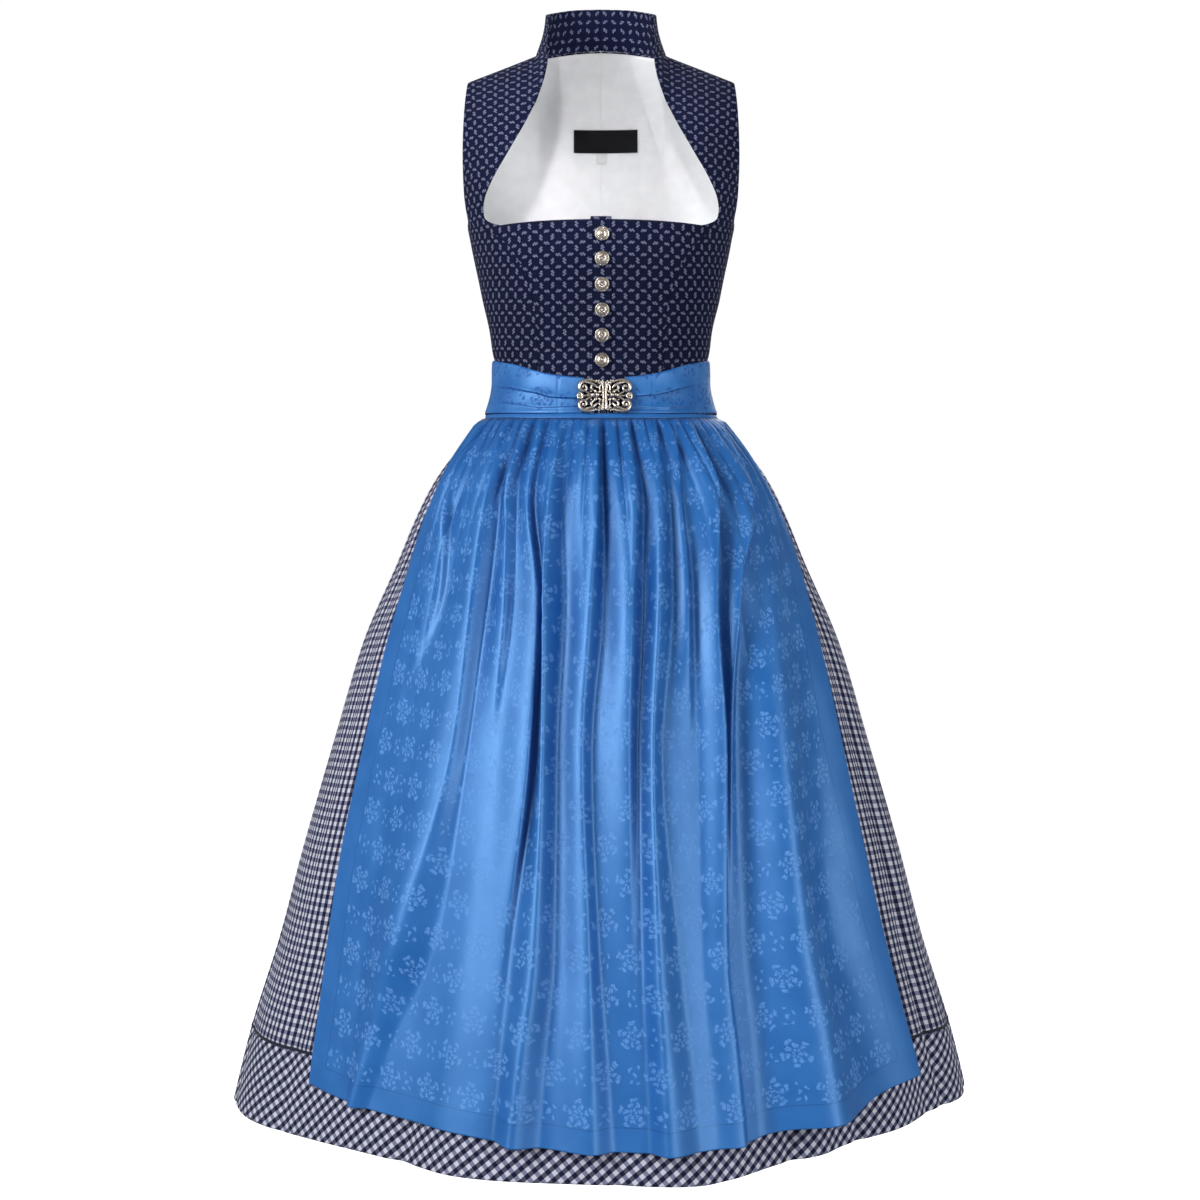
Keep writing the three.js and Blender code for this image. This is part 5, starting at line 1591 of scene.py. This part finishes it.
for number in range(BUTTON_COUNT):
    z = BUTTON_TOP - number * BUTTON_PITCH
    low, seat, high = on_bodice(FRONT, np.full(3, BUTTON_X), z + BUTTON_RADIUS * np.array([-1.0, 0, 1]),
                                np.array([0, 0.8 + 1.4, 0]))
    slope = Vector(high - low).normalized()
    out = Vector((0, -slope.z, slope.y))
    button_mesh = spun_button()
    bmesh.ops.transform(button_mesh, verts=button_mesh.verts, matrix=Matrix.Translation(Vector(seat) * MM)
                        @ out.to_track_quat("Z", "Y").to_matrix().to_4x4())
    button = finished(f"domed_button_{number + 1}", button_mesh, [SILVER])
    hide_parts(f"button_{number + 1}")

# %% Wires and beads for the clasp
CLASP = dict(x=BAND_CENTRE, z=CLASP_HEIGHT, lift=2.6, turn=4, tilt=13)
WIRE_BOLDNESS = 1.32


def wire(bm, points, thick, closed=False):
    """A round wire along a smooth line; each point is u, v, height and relative thickness."""
    data = bpy.data.curves.new("wire", "CURVE")
    data.dimensions = "3D"
    data.bevel_depth = WIRE_BOLDNESS * thick * MM
    data.bevel_resolution = 2
    data.use_fill_caps = True
    data.resolution_u = 6
    spline = data.splines.new("NURBS")
    spline.points.add(len(points) - 1)
    for knot, (u, v, height, size) in zip(spline.points, points):
        knot.co = (u * MM, v * MM, height * MM, 1)
        knot.radius = size
    spline.order_u = 3
    spline.use_endpoint_u = not closed
    spline.use_cyclic_u = closed
    holder = bpy.data.objects.new("wire", data)
    bpy.context.scene.collection.objects.link(holder)
    made = holder.to_mesh()
    bm.from_mesh(made)
    holder.to_mesh_clear()
    bpy.data.objects.remove(holder)
    bpy.data.curves.remove(data)


def bead(bm, u, v, height, size, squeeze=(1, 1, 1), degrees=0.0):
    spot = (Matrix.Translation((u * MM, v * MM, height * MM)) @ Matrix.Rotation(math.radians(degrees), 4, "Z")
            @ Matrix.Diagonal((*squeeze, 1)))
    bmesh.ops.create_icosphere(bm, subdivisions=2, radius=size * MM, matrix=spot)


BIG_SCROLL = [(10.6, 15.9, 2.0, 0.6), (14, 16.9, 2.5, 0.95), (19, 17.0, 2.9, 1.15), (24, 15.2, 3.0, 1.3),
              (26.6, 11.2, 3.0, 1.3), (26.2, 7.4, 2.9, 1.15), (23.4, 5.2, 2.8, 1.0), (20.0, 5.7, 2.7, 0.9),
              (18.6, 8.6, 2.7, 0.8), (20.2, 11.3, 2.8, 0.75), (22.8, 10.6, 2.9, 0.7), (22.4, 8.9, 3.0, 0.8)]
SCROLL_LEAF = [(7.6, 8.2, 1.8, 0.5), (9.6, 10.4, 2.5, 1.0), (13.2, 13.0, 2.9, 1.1), (17.6, 14.6, 2.9, 0.85),
               (20.8, 14.6, 2.7, 0.5)]
SIDE_RING = [(28.4, 0, 2.2, 1), (27.4, 2.9, 2.2, 1), (24.6, 3.3, 2.3, 1), (22.8, 0, 2.4, 1),
             (24.6, -3.3, 2.3, 1), (27.4, -2.9, 2.2, 1)]
TWIN_WIRES = (  # points as u, v, height and relative thickness, each line with its thickness
    ([(1.4, 3.6, 1.8, 1), (1.5, 9, 2.0, 1.1), (2.4, 13.5, 2.0, 1.1), (5.4, 15.6, 1.9, 1),
      (10.4, 15.4, 1.9, 0.9)], 1.0),
    ([(5.0, 5.4, 1.7, 0.7), (5.8, 8.6, 2.1, 1), (4.6, 11.4, 2.1, 0.9), (3.0, 12.8, 2.0, 0.7)], 0.85),
    ([(10.4, 5.0, 1.8, 0.8), (13.6, 6.6, 2.2, 1.1), (14.2, 10.4, 2.2, 1), (12.6, 12.6, 2.2, 0.8)], 0.95),
    ([(13.6, 1.2, 1.8, 0.9), (16.6, 2.2, 2.0, 0.8), (19.8, 4.6, 2.2, 0.9)], 0.8),
)
MIDDLE_WIRES = (
    ([(13.0, 0, 2.0, 0.9), (18, 0, 1.9, 0.8), (23, 0, 2.2, 0.9)], 0.85),
    ([(1.3, -15.0, 1.7, 1), (1.2, -5, 1.9, 1.1), (1.2, 5, 1.9, 1.1), (1.3, 15.0, 1.7, 1)], 0.85),
)
RIDGE_HEIGHT = 0.95
PETAL_SHAPE = (1.3, 0.85, 0.62)
PETALS_AT = ((11.6, 0.6, 2.4, 0), (9.4, 4.3, 1.8, 55), (5.0, 4.0, 1.7, 120), (9.6, -4.2, 1.9, -50),
             (5.2, -4.3, 1.7, -125), (3.4, 0.2, 1.4, 180))
SMALL_BEADS = ((8.6, 15.8, 1.35), (5.6, 13.4, 1.25), (2.6, 15.6, 1.2), (2.4, 12.2, 1.1), (6.0, 16.6, 1.0),
               (1.7, 9.3, 0.95), (1.6, 6.9, 0.95), (1.5, 4.7, 0.95), (14.2, 4.6, 1.0), (14.6, 8.6, 0.9))
MIDDLE_BEADS = ((7.4, 0.2, 3.3, 2.3), (11.2, 0.6, 3.4, 1.1), (3.4, 0.2, 3.2, 1.1), (25.5, 0, 3.0, 1.4),
                (21.9, 0, 2.9, 0.9))


def clasp_half(word, side):
    bm = bmesh.new()
    ridge_line = [(u, v, height + RIDGE_HEIGHT, size) for u, v, height, size in BIG_SCROLL[1:8]]
    twins = ((BIG_SCROLL, 1.25), (SCROLL_LEAF, 1.15), (ridge_line, 0.4), *TWIN_WIRES)
    for up in (-1, 1):
        for line, thick in twins:
            wire(bm, [(u, up * v, height, size) for u, v, height, size in line], thick)
        for u, v, size in SMALL_BEADS:
            bead(bm, u, up * v, 2.5, size)
        bead(bm, 25.6, up * 2.0, 3.0, 1.0)
    wire(bm, SIDE_RING, 1.0, closed=True)
    for line, thick in MIDDLE_WIRES:
        wire(bm, line, thick)
    for u, v, size, degrees in PETALS_AT:
        bead(bm, u, v, 2.5, size, PETAL_SHAPE, degrees)
    for u, v, height, size in MIDDLE_BEADS:
        bead(bm, u, v, height, size)
    if side < 0:
        bmesh.ops.scale(bm, verts=bm.verts, vec=(-1, 1, 1))
        bmesh.ops.reverse_faces(bm, faces=bm.faces)
    seat = BAND[FRONT].level(CLASP["z"], BAND[FRONT].depth) + CLASP["lift"]
    place = (Matrix.Translation(Vector((CLASP["x"], -seat, CLASP["z"])) * MM)
             @ Matrix.Rotation(math.radians(90 - CLASP["tilt"]), 4, "X")
             @ Matrix.Rotation(math.radians(side * CLASP["turn"]), 4, "Y"))
    bmesh.ops.transform(bm, verts=bm.verts, matrix=place)
    piece = finished(f"clasp_{word}_openwork", bm, [SILVER])
    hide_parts(f"clasp_{word}")


for half_word, half_side in SIDES:
    clasp_half(half_word, half_side)
